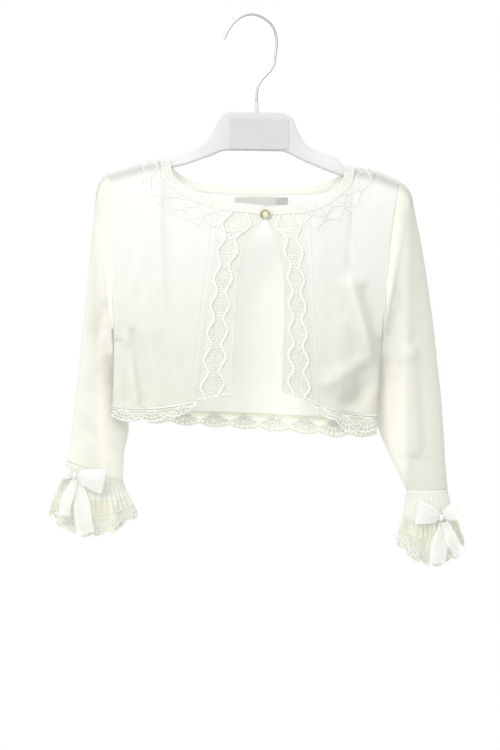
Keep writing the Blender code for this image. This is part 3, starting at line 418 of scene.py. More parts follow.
def resample(points, count):
    """The same line of points with count evenly spaced ones."""
    shares = even_shares(points, count) * (len(points) - 1)
    return look_up(shares, np.arange(len(points)), points)


def look_up(key, keys, rows):
    """Rows at key, on straight lines between the rows that belong to keys."""
    return np.stack([np.interp(key, keys, rows[:, k]) for k in range(3)], axis=-1)


def fold_rise(folds, x, z):
    """How far soft folds lift the cloth towards the viewer at x, z."""
    rise = np.zeros_like(x + z)
    for x1, z1, x2, z2, half, height in folds:
        dx, dz = x2 - x1, z2 - z1
        near = np.clip(((x - x1) * dx + (z - z1) * dz) / (dx * dx + dz * dz), 0, 1)
        off = np.hypot(x - x1 - near * dx, z - z1 - near * dz)
        rise += height * np.exp(-((off / half) ** 2))
    return rise


# The same smooth ripples everywhere: wave lengths across and down, phase, share.
RIPPLES = ((31.0, 47.0, 0.4, 0.5), (17.0, 29.0, 2.1, 0.28), (11.0, 13.0, 4.0, 0.14), (53.0, 23.0, 5.2, 0.35))


def ripple(a, b):
    """Gentle unevenness of soft cloth, between about -1 and 1."""
    total = np.zeros_like(a + b)
    for wide, high, phase, share in RIPPLES:
        total += share * np.sin(2 * np.pi * a / wide + phase) * np.sin(2 * np.pi * b / high + 1.7 * phase)
    return total


# The form of the body and the sleeves


def side_x(side, z):
    return smooth(SIDE_LINE[side], z)


def over_arm(drop):
    """0 on the ridge of the shoulder, 1 where the cloth hangs clear of the hanger's arm."""
    share = np.clip(2 * drop / ARMHOLE_HEIGHT, 0, 1)
    return np.sqrt(np.maximum(0.0, 1 - (1 - share) ** SHOULDER_ROUND))


def armhole_close(side, z):
    """1 on the upper armhole, falling to 0 at the underarm."""
    top = SIDE_LINE[side][0][0]
    f = (top - z) / (top - UNDERARM_Z[side])
    open_share = np.sqrt(np.maximum(0.0, 1 - np.maximum(0.0, 2 * f - 1) ** SHOULDER_ROUND))
    return np.where(f >= 1, 0.0, open_share)


SHOULDER_SOFTENING = (-24.0, -18.0, -12.0, -6.0, 0.0, 6.0, 12.0, 18.0, 24.0)
SOFT_START = 4.0  # how far below the shoulder line its corners start to soften
SOFT_REACH = 16.0
SIDES_OPEN = (45.0, 110.0)  # how far below the underarm the body starts to open, and over what height
SIDE_STRIPS = 11  # the side seam keeps its own depth over one part in so many of the half width


def body_y(face, x, z, creases=()):
    """Y of the cloth's inner side on the front or the back of the body."""
    left = x < CENTRE_X
    edge = np.where(left, side_x("left", z), side_x("right", z))
    under = np.where(left, UNDERARM_Z["left"], UNDERARM_Z["right"])
    close = np.where(left, armhole_close("left", z), armhole_close("right", z))
    across = np.clip((x - edge) / (CENTRE_X - edge), 0, 1)
    close = mix(close, ease((z - under + SIDES_OPEN[0]) / SIDES_OPEN[1]), ease(across * SIDE_STRIPS))
    swell = 1 - (1 - across) ** 2
    power = 0.5 + 0.5 * ease((z - under) / UNDERARM_FADE)
    drop = linear(SHOULDER_LINE, x) - z
    at_edge = ARMHOLE_DEPTH * close
    soft_line = sum(linear(SHOULDER_LINE, x + shift) for shift in SHOULDER_SOFTENING)
    soft_drop = soft_line / len(SHOULDER_SOFTENING) - z
    drop = mix(drop, soft_drop, ease((drop - SOFT_START) / SOFT_REACH))
    chest = ARMHOLE_DEPTH + (CHEST_DEPTH[face] - ARMHOLE_DEPTH) * ease(drop / DEPTH_RAMP)
    depth = over_arm(drop) * (at_edge + (chest - at_edge) * swell**power)
    folds = (FRONT_FOLDS if face == FRONT else BACK_FOLDS) + tuple(creases)
    depth = depth + fold_rise(folds, x, z) * np.minimum(1.0, depth / ARMHOLE_DEPTH) ** 2
    return face * (SEAM / 2 + depth)


def panel_grid(part, u, v):
    """Inner side of a panel: u are column numbers, v shares of the way down."""
    face, columns, seams = PANELS[part]
    rows = [(i,) + column for i, column in enumerate(columns)]
    top_x, top_z, hem_x = (smooth(rows, u, k)[:, None] for k in (1, 2, 3))
    v = v[None, :]
    x = mix(top_x, hem_x, v)
    z = mix(top_z, smooth(HEM_LINE[part], hem_x), v)
    share = (u / (len(columns) - 1))[:, None]
    for side, end in seams:
        edge = columns[end]
        if len(seams) == 1:
            weight = (1 - share) ** 2
        elif end == 0:
            weight = np.maximum(0.0, 1 - 2 * share) ** 2
        else:
            weight = np.maximum(0.0, 2 * share - 1) ** 2
        x = x + (side_x(side, z) - mix(edge[0], edge[2], v)) * weight
    y = body_y(face, x, z, FRONT_CREASES if face == FRONT else BACK_CREASES)
    return stack(x, y, z)


def border_grid(side, u, v):
    """Inner side of a lace front border: u from its sewn side to its free edge, v from the top down."""
    top_x, top_z, hem_x = FRONT_COLUMNS[side][-1]
    hem_z = smooth(HEM_LINE[side], hem_x)
    toward = 1 if side == "left" else -1
    rows = FRONT_EDGE[side]
    free_z = mix(rows[0][0], rows[-1][0], v)
    free_x = smooth(rows, free_z)
    x = mix(mix(top_x, hem_x, v) + toward * SEAM, free_x, u)
    z = mix(mix(top_z, hem_z, v), free_z, u)
    return stack(x, body_y(FRONT, x, z), z)


SLOPE_STEP = 0.1  # how far apart the body's slope beside an armhole is measured


def sleeve_points(side, around, t):
    """Inner side of a sleeve: around runs from the shoulder line down the front and back up behind."""
    rows = [(i,) + row for i, row in enumerate(SLEEVE_SECTIONS[side])]
    angle = 2 * np.pi * around
    f = (1 - np.cos(angle)) / 2
    ox, oz, ix, iz, half, back = (smooth(rows, t, c) for c in range(1, 7))
    x = mix(ox, ix, f)
    z = mix(oz, iz, f)
    facing = np.where(np.sin(angle) >= 0, -1.0, 1.0)
    power = mix(SHOULDER_ROUND, 2.0, ease(t / SLEEVE_ROUNDING))
    tube = np.sqrt(np.maximum(0.0, 1 - np.abs(2 * f - 1) ** power))
    y = back * mix(SLEEVE_TOP_BACK, 1.0, f) + facing * half * tube
    top = SIDE_LINE[side][0][0]
    own_z = np.clip(z, UNDERARM_Z[side], top)
    seam_y = ARMHOLE_DEPTH * over_arm(top - own_z) * armhole_close(side, own_z)
    seam_y = seam_y * np.minimum(1.0, ARMHOLE_PINCH * np.abs(np.sin(angle)))
    seam_x = side_x(side, z)
    away = -1 if side == "left" else 1
    below = own_z - SLOPE_STEP

    def slope_on(face):
        near, far = (body_y(face, seam_x - n * away * SLOPE_STEP, below) for n in (1, 2))
        return np.abs(far - near) / SLOPE_STEP

    slope = np.maximum(slope_on(FRONT), slope_on(BACK))
    lean = slope / np.sqrt(1 + slope**2)
    start, reach, more = UNDERARM_SPREAD
    clear = ARMHOLE_CLEAR + KNIT_WALL * (lean + more * ease((f - start) / reach))
    near = 1 - ease(t)
    y = mix(y, facing * seam_y, near)
    x = mix(x, seam_x + away * clear, near)
    rise = fold_rise(SLEEVE_FOLDS[side] + SLEEVE_CREASES[side], x, z) * tube
    y = y + facing * rise * np.where(facing < 0, 1.0, 0.5)
    return stack(x, y, z)


FRILL_SPREAD = (0.35, 0.65, 1.1)  # share that spreads evenly, share that eases in, and how fast
WAVE_START = (1.2, 0.15)
NOTCH_START = (3, 2)
NOTCH_SHARPNESS = 0.7
SAG_POWER = 1.5


def frill_points(side, around, s):
    """Inner side of a flared cuff frill: s runs from the cuff seam to the rim."""
    outer_x, outer_z, inner_x, inner_z, half, sag = FRILL_RIM[side]
    last = len(SLEEVE_SECTIONS[side]) - 1
    top = sleeve_points(side, around, np.full_like(around, float(last)))
    centre_y = SLEEVE_SECTIONS[side][-1][5] * FRILL_LIE_BACK
    angle = 2 * np.pi * around
    f = (1 - np.cos(angle)) / 2
    even, eased, speed = FRILL_SPREAD
    spread = even * s + eased * ease(s * speed)
    wave = np.cos(FRILL_WAVES * angle) * FRILL_WAVE_HEIGHT * ease(s * WAVE_START[0] - WAVE_START[1])
    x = mix(outer_x, inner_x, f) + math.copysign(1, outer_x - inner_x) * wave * np.cos(angle)
    y = centre_y - np.sin(angle) * (half + wave)
    bite = 1 - np.abs(np.cos(FRILL_WAVES * angle)) ** NOTCH_SHARPNESS
    notch = FRILL_NOTCH * bite * ease(s * NOTCH_START[0] - NOTCH_START[1])
    z = mix(outer_z, inner_z, f) - sag * np.abs(np.sin(angle)) ** SAG_POWER + notch
    goal = stack(x, y, z)
    low = top - np.array([0.0, 0.0, SEAM])
    point = mix(top, goal, spread[..., None])
    point[..., 2] = mix(low[..., 2], z, s)
    return point


# Meshes


def grid_normals(points, outward, closed=False):
    """Unit normals of a grid of points, on the side that outward names."""
    along = np.roll(points, -1, 0) - np.roll(points, 1, 0)
    if not closed:
        along[0] = points[1] - points[0]
        along[-1] = points[-1] - points[-2]
    down = np.gradient(points, axis=1)
    normals = unit(np.cross(along, down))
    if (normals * outward).sum() < 0:
        normals = -normals
    return normals


QUAD = ((0, 0), (0, 1), (1, 1), (1, 0))  # steps across and down to the corners of a grid's quad
SMOOTH_ANGLE = 60


def link(obj):
    bpy.context.scene.collection.objects.link(obj)
    return obj


class Pile:
    """Points, faces and flat coordinates of one piece, gathered before its mesh is made."""

    def __init__(self):
        self.points = []
        self.faces = []
        self.corners = {"cloth": [], "neck": [], "behind": []}
        self.slots = []
        self.count = 0

    def add(self, points, faces, cloth, slots=0, **layers):
        """Adds faces, given as corner numbers, with a flat coordinate for each corner."""
        self.points.append(points.reshape(-1, 3))
        self.faces += (faces + self.count).tolist()
        layers["cloth"] = cloth
        for name, corners in self.corners.items():
            corners.append(layers.get(name, cloth * 0).reshape(-1, 2))
        self.slots.append(np.broadcast_to(slots, len(faces)))
        self.count += self.points[-1].shape[0]

    def grid(self, points, cloth, closed=False, slots=0, flip=False, **layers):
        """Adds a grid of points as quads. cloth has one more column than points where it is closed."""
        across, down = points.shape[:2]
        steps = across if closed else across - 1
        i, j = np.meshgrid(np.arange(steps), np.arange(down - 1), indexing="ij")
        order = QUAD[::-1] if flip else QUAD
        faces = np.stack([((i + a) % across) * down + j + b for a, b in order], axis=-1).reshape(-1, 4)
        flat = np.stack([cloth[i + a, j + b] for a, b in order], axis=2)
        for name, layer in layers.items():
            layers[name] = np.stack([layer[(i + a) % across, j + b] for a, b in order], axis=2)
        if not np.isscalar(slots):
            slots = slots[:steps].reshape(-1)
        self.add(points, faces, flat, slots, **layers)

    def wall(self, inner, normals, thick, cloth, closed=False, slots=0, flip=False, **layers):
        """Adds a closed wall of cloth over a grid of inner points."""
        outer = inner + normals * np.asarray(thick)[..., None]
        across, down = inner.shape[:2]
        start = self.count
        self.grid(outer, cloth, closed, slots, flip, **layers)
        self.grid(inner, cloth, closed, slots, not flip, **layers)
        size = across * down
        rims = [np.arange(across) * down, np.arange(across) * down + down - 1]
        if closed:
            rims = [np.append(rim, rim[0]) for rim in rims]
        else:
            rims += [np.arange(down), np.arange(down) + (across - 1) * down]
        for number, rim in enumerate(rims):
            a, b = rim[:-1], rim[1:]
            quads = stack(a, b, b + size, a + size)
            if (number in (0, 3)) == flip:
                quads = quads[:, ::-1]
            edge = cloth.reshape(-1, 2)[np.minimum(quads % size, cloth.shape[0] * cloth.shape[1] - 1)]
            side = int(slots if np.isscalar(slots) else 0)
            self.add(np.zeros((0, 3)), quads + start - self.count, edge, side)

    def yarn(self, path, normals, radius, sides=6, slot=0, closed=False):
        """Adds a tube along path. radius may differ at each point."""
        ahead = np.gradient(path, axis=0)
        if closed:
            ahead = np.roll(path, -1, 0) - np.roll(path, 1, 0)
        ahead = unit(ahead)
        across = unit(np.cross(ahead, normals))
        up = np.cross(across, ahead)
        angle = np.arange(sides) * 2 * np.pi / sides
        radius = np.broadcast_to(radius, len(path))[:, None, None]
        ring = across[:, None] * np.cos(angle)[None, :, None] + up[:, None] * np.sin(angle)[None, :, None]
        points = path[:, None] + ring * radius
        run = run_along(np.concatenate([path, path[:1]]))
        n = len(path)
        rows = n if closed else n - 1
        i, k = np.meshgrid(np.arange(rows), np.arange(sides), indexing="ij")
        faces = np.stack([((i + a) % n) * sides + (k + b) % sides for a, b in QUAD], axis=-1).reshape(-1, 4)
        round_length = 2 * np.pi * float(np.mean(radius)) / sides
        flat = np.stack([np.stack([(k + b) * round_length, run[i + a]], -1) for a, b in QUAD], axis=2)
        self.add(points, faces, flat * MM, slot)
        if not closed:
            caps = np.arange(sides).reshape(1, -1)
            for cap in (caps[:, ::-1], caps + (n - 1) * sides):
                self.add(np.zeros((0, 3)), cap + (-n * sides), np.zeros((sides, 2)), slot)

    def cord(self, path, normals, radius, pitch, depth=0.2, sides=6, slot=0, closed=False):
        """Adds a tube along path that swells once for each stitch."""
        run = run_along(np.concatenate([path, path[:1]]) if closed else path)[:len(path)]
        self.yarn(path, normals, radius * (1 + depth * np.cos(2 * np.pi * run / pitch)), sides, slot, closed)

    def build(self, name, *materials):
        """Makes the object, in metres, from everything that was added in millimetres."""
        mesh = bpy.data.meshes.new(name)
        mesh.from_pydata((np.concatenate(self.points) * MM).tolist(), [], self.faces)
        for layer, corners in self.corners.items():
            data = mesh.uv_layers.new(name=layer).data
            data.foreach_set("uv", np.concatenate(corners).astype(np.float32).ravel())
        mesh.polygons.foreach_set("material_index", np.concatenate(self.slots).astype(np.int32))
        for material in materials:
            mesh.materials.append(material)
        mesh.shade_smooth()
        mesh.set_sharp_from_angle(angle=math.radians(SMOOTH_ANGLE))
        mesh.update()
        return link(bpy.data.objects.new(name, mesh))


def flat_coordinates(points):
    """Flat coordinates of a panel's grid in metres: wales keep to x and courses to z where it lies flat."""
    step = np.diff(points, axis=0)
    extra = np.linalg.norm(step, axis=-1) - np.abs(step[..., 0])
    way = np.sign(points[-1, -1, 0] - points[0, -1, 0])
    across = points[..., 0] + way * np.concatenate([np.zeros_like(extra[:1]), np.cumsum(extra, axis=0)])
    step = np.diff(points, axis=1)
    extra = np.linalg.norm(step, axis=-1) - np.abs(step[..., 2])
    down = points[..., 2] - np.concatenate([np.zeros_like(extra[:, :1]), np.cumsum(extra, axis=1)], axis=1)
    return stack(across, down) * MM


def tube_coordinates(points):
    """Flat coordinates of a closed grid in metres, measured from its first line both ways round."""
    ring = np.concatenate([points, points[:1]])
    steps = np.linalg.norm(np.diff(ring, axis=0), axis=-1)
    run = np.concatenate([np.zeros_like(steps[:1]), np.cumsum(steps, axis=0)])
    half = len(points) // 2
    run = np.where(np.arange(len(run))[:, None] > half, run - run[-1:], run)
    steps = np.linalg.norm(np.diff(ring, axis=1), axis=-1)
    down = np.concatenate([np.zeros_like(steps[:, :1]), np.cumsum(steps, axis=1)], axis=1)
    return stack(run, down) * MM


def fit_piece(obj, slot, *nodes):
    """Puts a piece on the frame: it rides on the part, has the slot's finish and stands for the nodes."""
    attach(obj, "root")
    if nodes:
        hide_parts(*nodes)
    return obj


# Materials


def node_operator(name, swapped=False):
    """An operator of Value that adds the math node of that name."""

    def apply(self, *others):
        return self.graph.math(name, *((*others, self) if swapped else (self, *others)))

    return apply


class Value:
    """A number that a node tree works out. Arithmetic with it adds the nodes."""

    def __init__(self, graph, socket):
        self.graph = graph
        self.socket = socket

    __add__ = node_operator("ADD")
    __sub__ = node_operator("SUBTRACT")
    __rsub__ = node_operator("SUBTRACT", swapped=True)
    __mul__ = node_operator("MULTIPLY")
    __truediv__ = node_operator("DIVIDE")
    __mod__ = node_operator("MODULO")
    __gt__ = node_operator("GREATER_THAN")
    __abs__ = node_operator("ABSOLUTE")
    fract = node_operator("FRACT")
    floor = node_operator("FLOOR")
    sine = node_operator("SINE")
    root = node_operator("SQRT")
    maximum = node_operator("MAXIMUM")
    near = node_operator("COMPARE")


class Graph:
    """Adds nodes to a node tree and joins them."""

    def __init__(self, tree):
        self.tree = tree

    def put(self, socket, value):
        value = getattr(value, "socket", value)
        if isinstance(value, bpy.types.NodeSocket):
            self.tree.links.new(value, socket)
        else:
            socket.default_value = value

    def put_all(self, node, inputs):
        """Sets inputs by name, with _ for each space in it."""
        for name, value in inputs.items():
            self.put(node.inputs[name.replace("_", " ")], value)

    def add(self, kind, inputs=(), **settings):
        node = self.tree.nodes.new(kind)
        node.location = (220 * (len(self.tree.nodes) % 8), -200 * (len(self.tree.nodes) // 8))
        for name, value in settings.items():
            setattr(node, name, value)
        self.put_all(node, dict(inputs))
        return node

    def math(self, operation, *values, clamp=False):
        node = self.add("ShaderNodeMath", operation=operation, use_clamp=clamp)
        for socket, value in zip(node.inputs, values):
            self.put(socket, value)
        return Value(self, node.outputs[0])

    def span(self, value, low, high, at_low=0.0, at_high=1.0):
        """Value eased from at_low to at_high while it goes from low to high."""
        inputs = {"Value": value, "From Min": low, "From Max": high, "To Min": at_low, "To Max": at_high}
        return Value(self, self.add("ShaderNodeMapRange", inputs, interpolation_type="SMOOTHSTEP").outputs[0])

    def tint(self, factor, first, second):
        """A colour between two others, each a tuple or what a node makes."""
        node = self.add("ShaderNodeMix", data_type="RGBA")
        self.put(node.inputs[0], factor)
        for number, colour in ((6, first), (7, second)):
            self.put(node.inputs[number], (*colour, 1.0) if isinstance(colour, tuple) else colour)
        return node.outputs[2]

    def place(self):
        return self.add("ShaderNodeTexCoord").outputs["Object"]

    def parts(self, vector):
        return [Value(self, part) for part in self.add("ShaderNodeSeparateXYZ", {"Vector": vector}).outputs]

    def flat(self, layer="cloth"):
        """The two flat coordinates of a piece, in metres."""
        return self.parts(self.add("ShaderNodeUVMap", uv_map=layer).outputs[0])[:2]

    def noise(self, scale, detail=2.0):
        inputs = {"Vector": self.place(), "Scale": scale, "Detail": detail}
        return Value(self, self.add("ShaderNodeTexNoise", inputs).outputs[0])

    def bump(self, height, strength, distance):
        inputs = {"Strength": strength, "Distance": distance, "Height": height}
        return self.add("ShaderNodeBump", inputs).outputs[0]

    def use(self, group, **inputs):
        """Places a node group and gives its outputs."""
        node = self.add("ShaderNodeGroup", node_tree=group())
        self.put_all(node, inputs)
        return [Value(self, socket) for socket in node.outputs]


def node_group(name, outputs, **inputs):
    """Turns a function of a graph and some numbers into a node group, which is made once."""

    def wrap(work):
        @functools.cache
        def make():
            tree = bpy.data.node_groups.new(name, "ShaderNodeTree")
            kind = "NodeSocketFloat"
            for given, default in inputs.items():
                socket = tree.interface.new_socket(given.replace("_", " "), in_out="INPUT", socket_type=kind)
                socket.default_value = default
            for given in outputs:
                tree.interface.new_socket(given, in_out="OUTPUT", socket_type=kind)
            graph = Graph(tree)
            given = [Value(graph, socket) for socket in graph.add("NodeGroupInput").outputs]
            results = work(graph, *given[:len(inputs)])
            for socket, value in zip(graph.add("NodeGroupOutput").inputs, results):
                graph.put(socket, value)
            return tree

        return make

    return wrap


@node_group("Knit stitches", ("Height", "Groove"), Across=0.0, Down=0.0, Wale=0.0015, Course=0.0011)
def knit_group(graph, across, down, wale, course):
    """Columns of V-shaped stitches: the height of their yarn, and the grooves between them."""
    side = abs((across / wale).fract() - 0.5) * 2.0
    stitch = abs((down / course + side * 0.9).fract() - 0.5)
    leg = 1.0 - abs(side - 0.5) * 2.0
    height = graph.span(leg, 0.0, 0.8) * (1.0 - graph.span(stitch, 0.2, 0.5, 0.0, 0.7))
    return height, graph.span(height, 0.0, 0.35, 1.0, 0.0)


@node_group("Soft fuzz", ("Fibre", "Cloud"), Fibre_scale=1400.0, Cloud_scale=18.0)
def fuzz_group(graph, fibre_scale, cloud_scale):
    """Soft halo of fine fibres and slow changes of tone."""
    return graph.noise(fibre_scale, 3.0), graph.noise(cloud_scale)


@node_group("Hem shade", ("Low",), Top=-0.22, Bottom=-0.43)
def hem_shade_group(graph, top, bottom):
    """0 above the chest, growing to 1 at the hem, where the cream yarn is deeper in tone."""
    return (graph.span(graph.parts(graph.place())[2], bottom, top, 1.0, 0.0),)


@node_group(
    "Eyelets", ("Hole",), Across=0.0, Down=0.0, Pitch_across=0.003, Pitch_down=0.003, Radius=0.0007,
    Stagger=0.0,
)
def eyelet_group(graph, across, down, pitch_across, pitch_down, radius, stagger):
    """Round holes in a grid: 1 inside a hole."""
    row = down / pitch_down
    column = across / pitch_across + row.floor() % 2.0 * stagger
    x = (column.fract() - 0.5) * pitch_across
    y = (row.fract() - 0.5) * pitch_down
    inside = (radius - (x * x + y * y).root()) / 0.00025
    return (graph.math("ADD", inside, 0.5, clamp=True),)


def eyelets(graph, across, down, pitch_across, pitch_down, radius, stagger=0.0):
    """Places the round holes of a grid."""
    return graph.use(
        eyelet_group, Across=across, Down=down, Pitch_across=pitch_across, Pitch_down=pitch_down,
        Radius=radius, Stagger=stagger,
    )[0]


@node_group("Plain weave", ("Height",), Across=0.0, Down=0.0, Pitch=0.0005)
def weave_group(graph, across, down, pitch):
    """Plain weave of fine threads."""
    return ((across / pitch * math.pi).sine() * (down / pitch * math.pi).sine() * 0.5 + 0.5,)


class Look(Graph):
    """The graph of a new material, with its shader and what it shows."""

    def __init__(self, name):
        self.material = bpy.data.materials.new(name)
        self.material.use_nodes = True
        super().__init__(self.material.node_tree)
        self.shader = self.tree.nodes["Principled BSDF"]
        self.shown = self.tree.nodes["Material Output"].inputs["Surface"]

    def set(self, **inputs):
        self.put_all(self.shader, inputs)

    def mix_in(self, kind, share, inputs=()):
        """Blends another shader with what the material shows so far."""
        both = self.add("ShaderNodeMixShader", {"Fac": share})
        self.put(both.inputs[1], self.shown.links[0].from_socket)
        self.put(both.inputs[2], self.add(kind, inputs).outputs[0])
        self.put(self.shown, both.outputs[0])

    def let_light_through(self, colour, share):
        """Thin cloth passes part of the light that falls on its far side."""
        self.mix_in("ShaderNodeBsdfTranslucent", share, {"Color": (*colour, 1.0)})

    def cut_holes(self, hole):
        """Makes the cloth clear where hole is 1."""
        self.mix_in("ShaderNodeBsdfTransparent", hole)


BLACK = (0.0, 0.0, 0.0)
HEM_SHADE = (0.90, 0.897, 0.83)  # painted shade: share of each colour that is left at the hem, where the light is dimmer
PAINTED_SHADE = 0.3  # painted shade: how much darker the knit is painted along the hanger's arm and the shoulders, and on the sleeves' outer halves and heads
EDGE_EYELETS = (0.001, 0.0042)  # from and to, across a border from its sewn side
LEAF_PITCH = 21.0
LEAF_ROWS = (4.0, 21.0)  # from and to, down from the neckline
SEAM_EYELETS = (2.6, 7.8)  # lines of eyelets beside a front border, from its seam


def shade_towards_hem(graph, colour):
    """The colour, deeper towards the hem."""
    deep = tuple(c * share for c, share in zip(colour, HEM_SHADE))
    return graph.tint(graph.use(hem_shade_group)[0], colour, deep)


@functools.cache
def knit_material(name, colour, holes="none", through=0.15):
    """Fine plain knit, through which a share of the light passes.

    holes is none, yoke for a panel's eyelets or edge for a border's.
    """
    cloth = looks().cloth
    look = Look(name)
    across, down = look.flat()
    height, groove = look.use(knit_group, Across=across, Down=down, Wale=cloth.wale, Course=cloth.course)
    fibre, cloud = look.use(fuzz_group)
    # Painted shade carried by the mesh: along the hanger's arm, and on the sleeves' outer halves and heads.
    behind = look.flat("behind")[1]
    # Painted shade: the knit is darker in the grooves between its stitches.
    light = look.span(cloud, 0.3, 0.7, 0.98, 1.0) * (1.0 - groove * 0.07) * (1.0 - behind * PAINTED_SHADE)
    # Panels and borders get painted shade towards the hem.
    own = colour if holes == "none" else shade_towards_hem(look, colour)
    look.set(
        Base_Color=look.tint(light, BLACK, own), Roughness=0.95, Specular_IOR_Level=0.2, Sheen_Weight=0.25,
        Sheen_Roughness=0.6, Normal=look.bump(height + fibre * 0.7, 0.55, 0.0005),
    )
    look.let_light_through(colour, through)
    if holes == "yoke":
        look.cut_holes(yoke_holes(look))
    elif holes == "edge":
        start, end = EDGE_EYELETS
        line = (1.0 - (across > end)) * (across > start)
        look.cut_holes(line * eyelets(look, across, down, 0.0052, 0.0036, 0.00075))
    return look.material


def yoke_holes(graph):
    """Eyelets of the leaf band: two rows along the neck and a column between each two leaves."""
    run, deep = graph.flat("neck")
    rows = []
    for level in (LEAF_ROWS[0] - 1.6, LEAF_ROWS[1] + 2.6):
        dots = eyelets(graph, run, deep - level * MM + 0.0015, LEAF_PITCH / 6 * MM, 0.003, 0.0005)
        rows.append(dots * deep.near(level * MM, 0.0014))
    column = run + LEAF_PITCH / 2 * MM
    dots = eyelets(graph, column, deep, LEAF_PITCH / 5 * MM, 0.003, 0.0005)
    gap = (column / (LEAF_PITCH * MM)).fract().near(0.5, 0.1)
    columns = dots * (deep.near(sum(LEAF_ROWS) / 2 * MM, 0.0075) * gap)
    down = graph.flat()[1]
    seam = graph.flat("behind")[0]
    first, second = (seam.near(place * MM, 0.001) for place in SEAM_EYELETS)
    dots = eyelets(graph, seam, down, SEAM_EYELETS[0] * 2 * MM, 0.0036, 0.00068)
    lines = first.maximum(second) * (deep > 0.003) * dots
    return rows[0].maximum(rows[1]).maximum(columns).maximum(lines)


@functools.cache
def lace_ground_material(name, colour, pitch=2.3, radius=0.72, through=0.2):
    """The open mesh between the raised yarns of lace."""
    look = Look(name)
    across, down = look.flat()
    fibre, cloud = look.use(fuzz_group, Fibre_scale=1100.0, Cloud_scale=60.0)
    light = look.span(cloud, 0.3, 0.7, 0.88, 1.0)
    # The base colour carries painted shade towards the hem.
    look.set(
        Base_Color=look.tint(light, BLACK, shade_towards_hem(look, colour)), Roughness=0.95, Specular_IOR_Level=0.15,
        Sheen_Weight=0.2, Normal=look.bump(fibre, 0.7, 0.0005),
    )
    look.let_light_through(colour, through)
    look.cut_holes(eyelets(look, across, down, pitch * MM, pitch * MM, radius * MM, 0.5))
    return look.material


@functools.cache
def yarn_material(name, colour):
    """Soft plied yarn of the raised lace."""
    look = Look(name)
    across, down = look.flat()
    fibre = look.use(fuzz_group, Fibre_scale=1800.0, Cloud_scale=40.0)[0]
    strand = (down * 5200.0 + across * 2400.0).sine() * 0.5 + 0.5
    look.set(
        Base_Color=look.tint(strand, shade(colour, 0.9), colour), Roughness=0.9, Specular_IOR_Level=0.2,
        Sheen_Weight=0.3, Normal=look.bump(strand + fibre * 0.8, 0.5, 0.0003),
    )
    look.let_light_through(colour, 0.15)
    return look.material


@functools.cache
def ribbon_material(name, colour, clear=0.5, thread=0.00045):
    """Sheer woven ribbon with a faint sheen."""
    look = Look(name)
    across, down = look.flat()
    weave = look.use(weave_group, Across=across, Down=down, Pitch=thread)[0]
    cloud = look.use(fuzz_group, Fibre_scale=500.0, Cloud_scale=45.0)[1]
    look.set(
        Base_Color=look.tint(look.span(cloud, 0.35, 0.65), shade(colour, 0.93), colour),
        Roughness=look.span(weave, 0.0, 1.0, 0.35, 0.5), Sheen_Weight=0.4, Specular_IOR_Level=0.4,
        Normal=look.bump(weave, 0.25, 0.0002),
    )
    look.let_light_through(colour, 0.3)
    if clear:
        look.cut_holes(look.span(weave, 0.1, 0.9, clear * 1.7, clear * 0.3))
    return look.material


@functools.cache
def pearl_material(name, face, rim):
    """Mother-of-pearl button: a light middle and a beige rim, under a clear polish."""
    look = Look(name)
    cloud = look.noise(260.0, 3.0)
    away = look.flat()[1] + (cloud - 0.5) * 0.0016
    tone = look.tint(look.span(away, 0.0022, 0.0036), face, rim)
    look.set(
        Base_Color=look.tint(look.span(cloud, 0.35, 0.7, 0.0, 0.35), tone, (0.9, 0.88, 0.8)),
        Roughness=look.span(cloud, 0.3, 0.7, 0.18, 0.3), Coat_Weight=0.6, Coat_Roughness=0.08,
    )
    return look.material


@functools.cache
def plastic_material(name, colour):
    """Frosted plastic: cloudy, with a fine satin grain, lighter where it is thin."""
    look = Look(name)
    cloud = look.noise(14.0)
    grain = look.noise(2600.0)
    # Painted light: lighter away from the middle of the head.
    thin = look.span(abs(look.parts(look.place())[0] - 0.008), 0.036, 0.075)
    tone = look.tint(thin, colour, tuple(min(1.0, 1.12 * c) for c in colour))
    look.set(
        Base_Color=look.tint(look.span(cloud, 0.4, 0.7, 0.0, 0.5), tone, shade(colour, 0.95)),
        Roughness=look.span(grain, 0.3, 0.7, 0.38, 0.52), IOR=1.49, Normal=look.bump(grain, 0.12, 0.0001),
    )
    look.let_light_through(colour, 0.3)
    return look.material


@functools.cache
def steel_material(name, colour):
    """Bright plated wire with fine drawing marks along it."""
    look = Look(name)
    marks = look.noise(900.0)
    look.set(
        Base_Color=look.tint(marks, shade(colour, 0.85), colour), Metallic=1.0,
        Roughness=look.span(marks, 0.3, 0.7, 0.32, 0.42),
    )
    return look.material


# Pieces of the garment

OPERATORS = []


def operator(name, label, tip, *parts):
    """Turns a function into an operator of the add-on, which calls it once, or once for each part."""

    def wrap(make):
        def execute(self, context):
            for given in [(part,) for part in parts] or [()]:
                make(*given)
            return {"FINISHED"}

        own = {"__doc__": tip, "bl_idname": f"cardigan.{name}", "bl_label": label, "execute": execute}
        OPERATORS.append(type(f"CARDIGAN_OT_{name}", (bpy.types.Operator,), own))
        return make

    return wrap


PANEL_STEPS = {FRONT: (104, 150), BACK: (180, 110)}
PANEL_LIGHT = {FRONT: 0.15, BACK: 0.56}  # share of light that the cloth lets through
EVEN_LEVEL = 0.45  # share of the way down where a panel's columns are spaced evenly
CALM_STRIPS = 12  # ripples die out over one part in so many at the panel's edges
TOP_CROWDING = 1.5  # crowds a panel's rows towards the shoulder, where the cloth turns over
RIPPLE_HEIGHT = 0.28
ARM_BAND = (6.8, 5.4)  # how far below the shoulder line the band of painted shade lies that stands for the hanger's arm showing through, and its half width


NECK_STEP = 0.55
NECK_LEAN = 0.25  # how far the edging's face leans up
NORMALS_BLUR = 24
AHEAD_BLUR = 8
UP_BLUR = 10


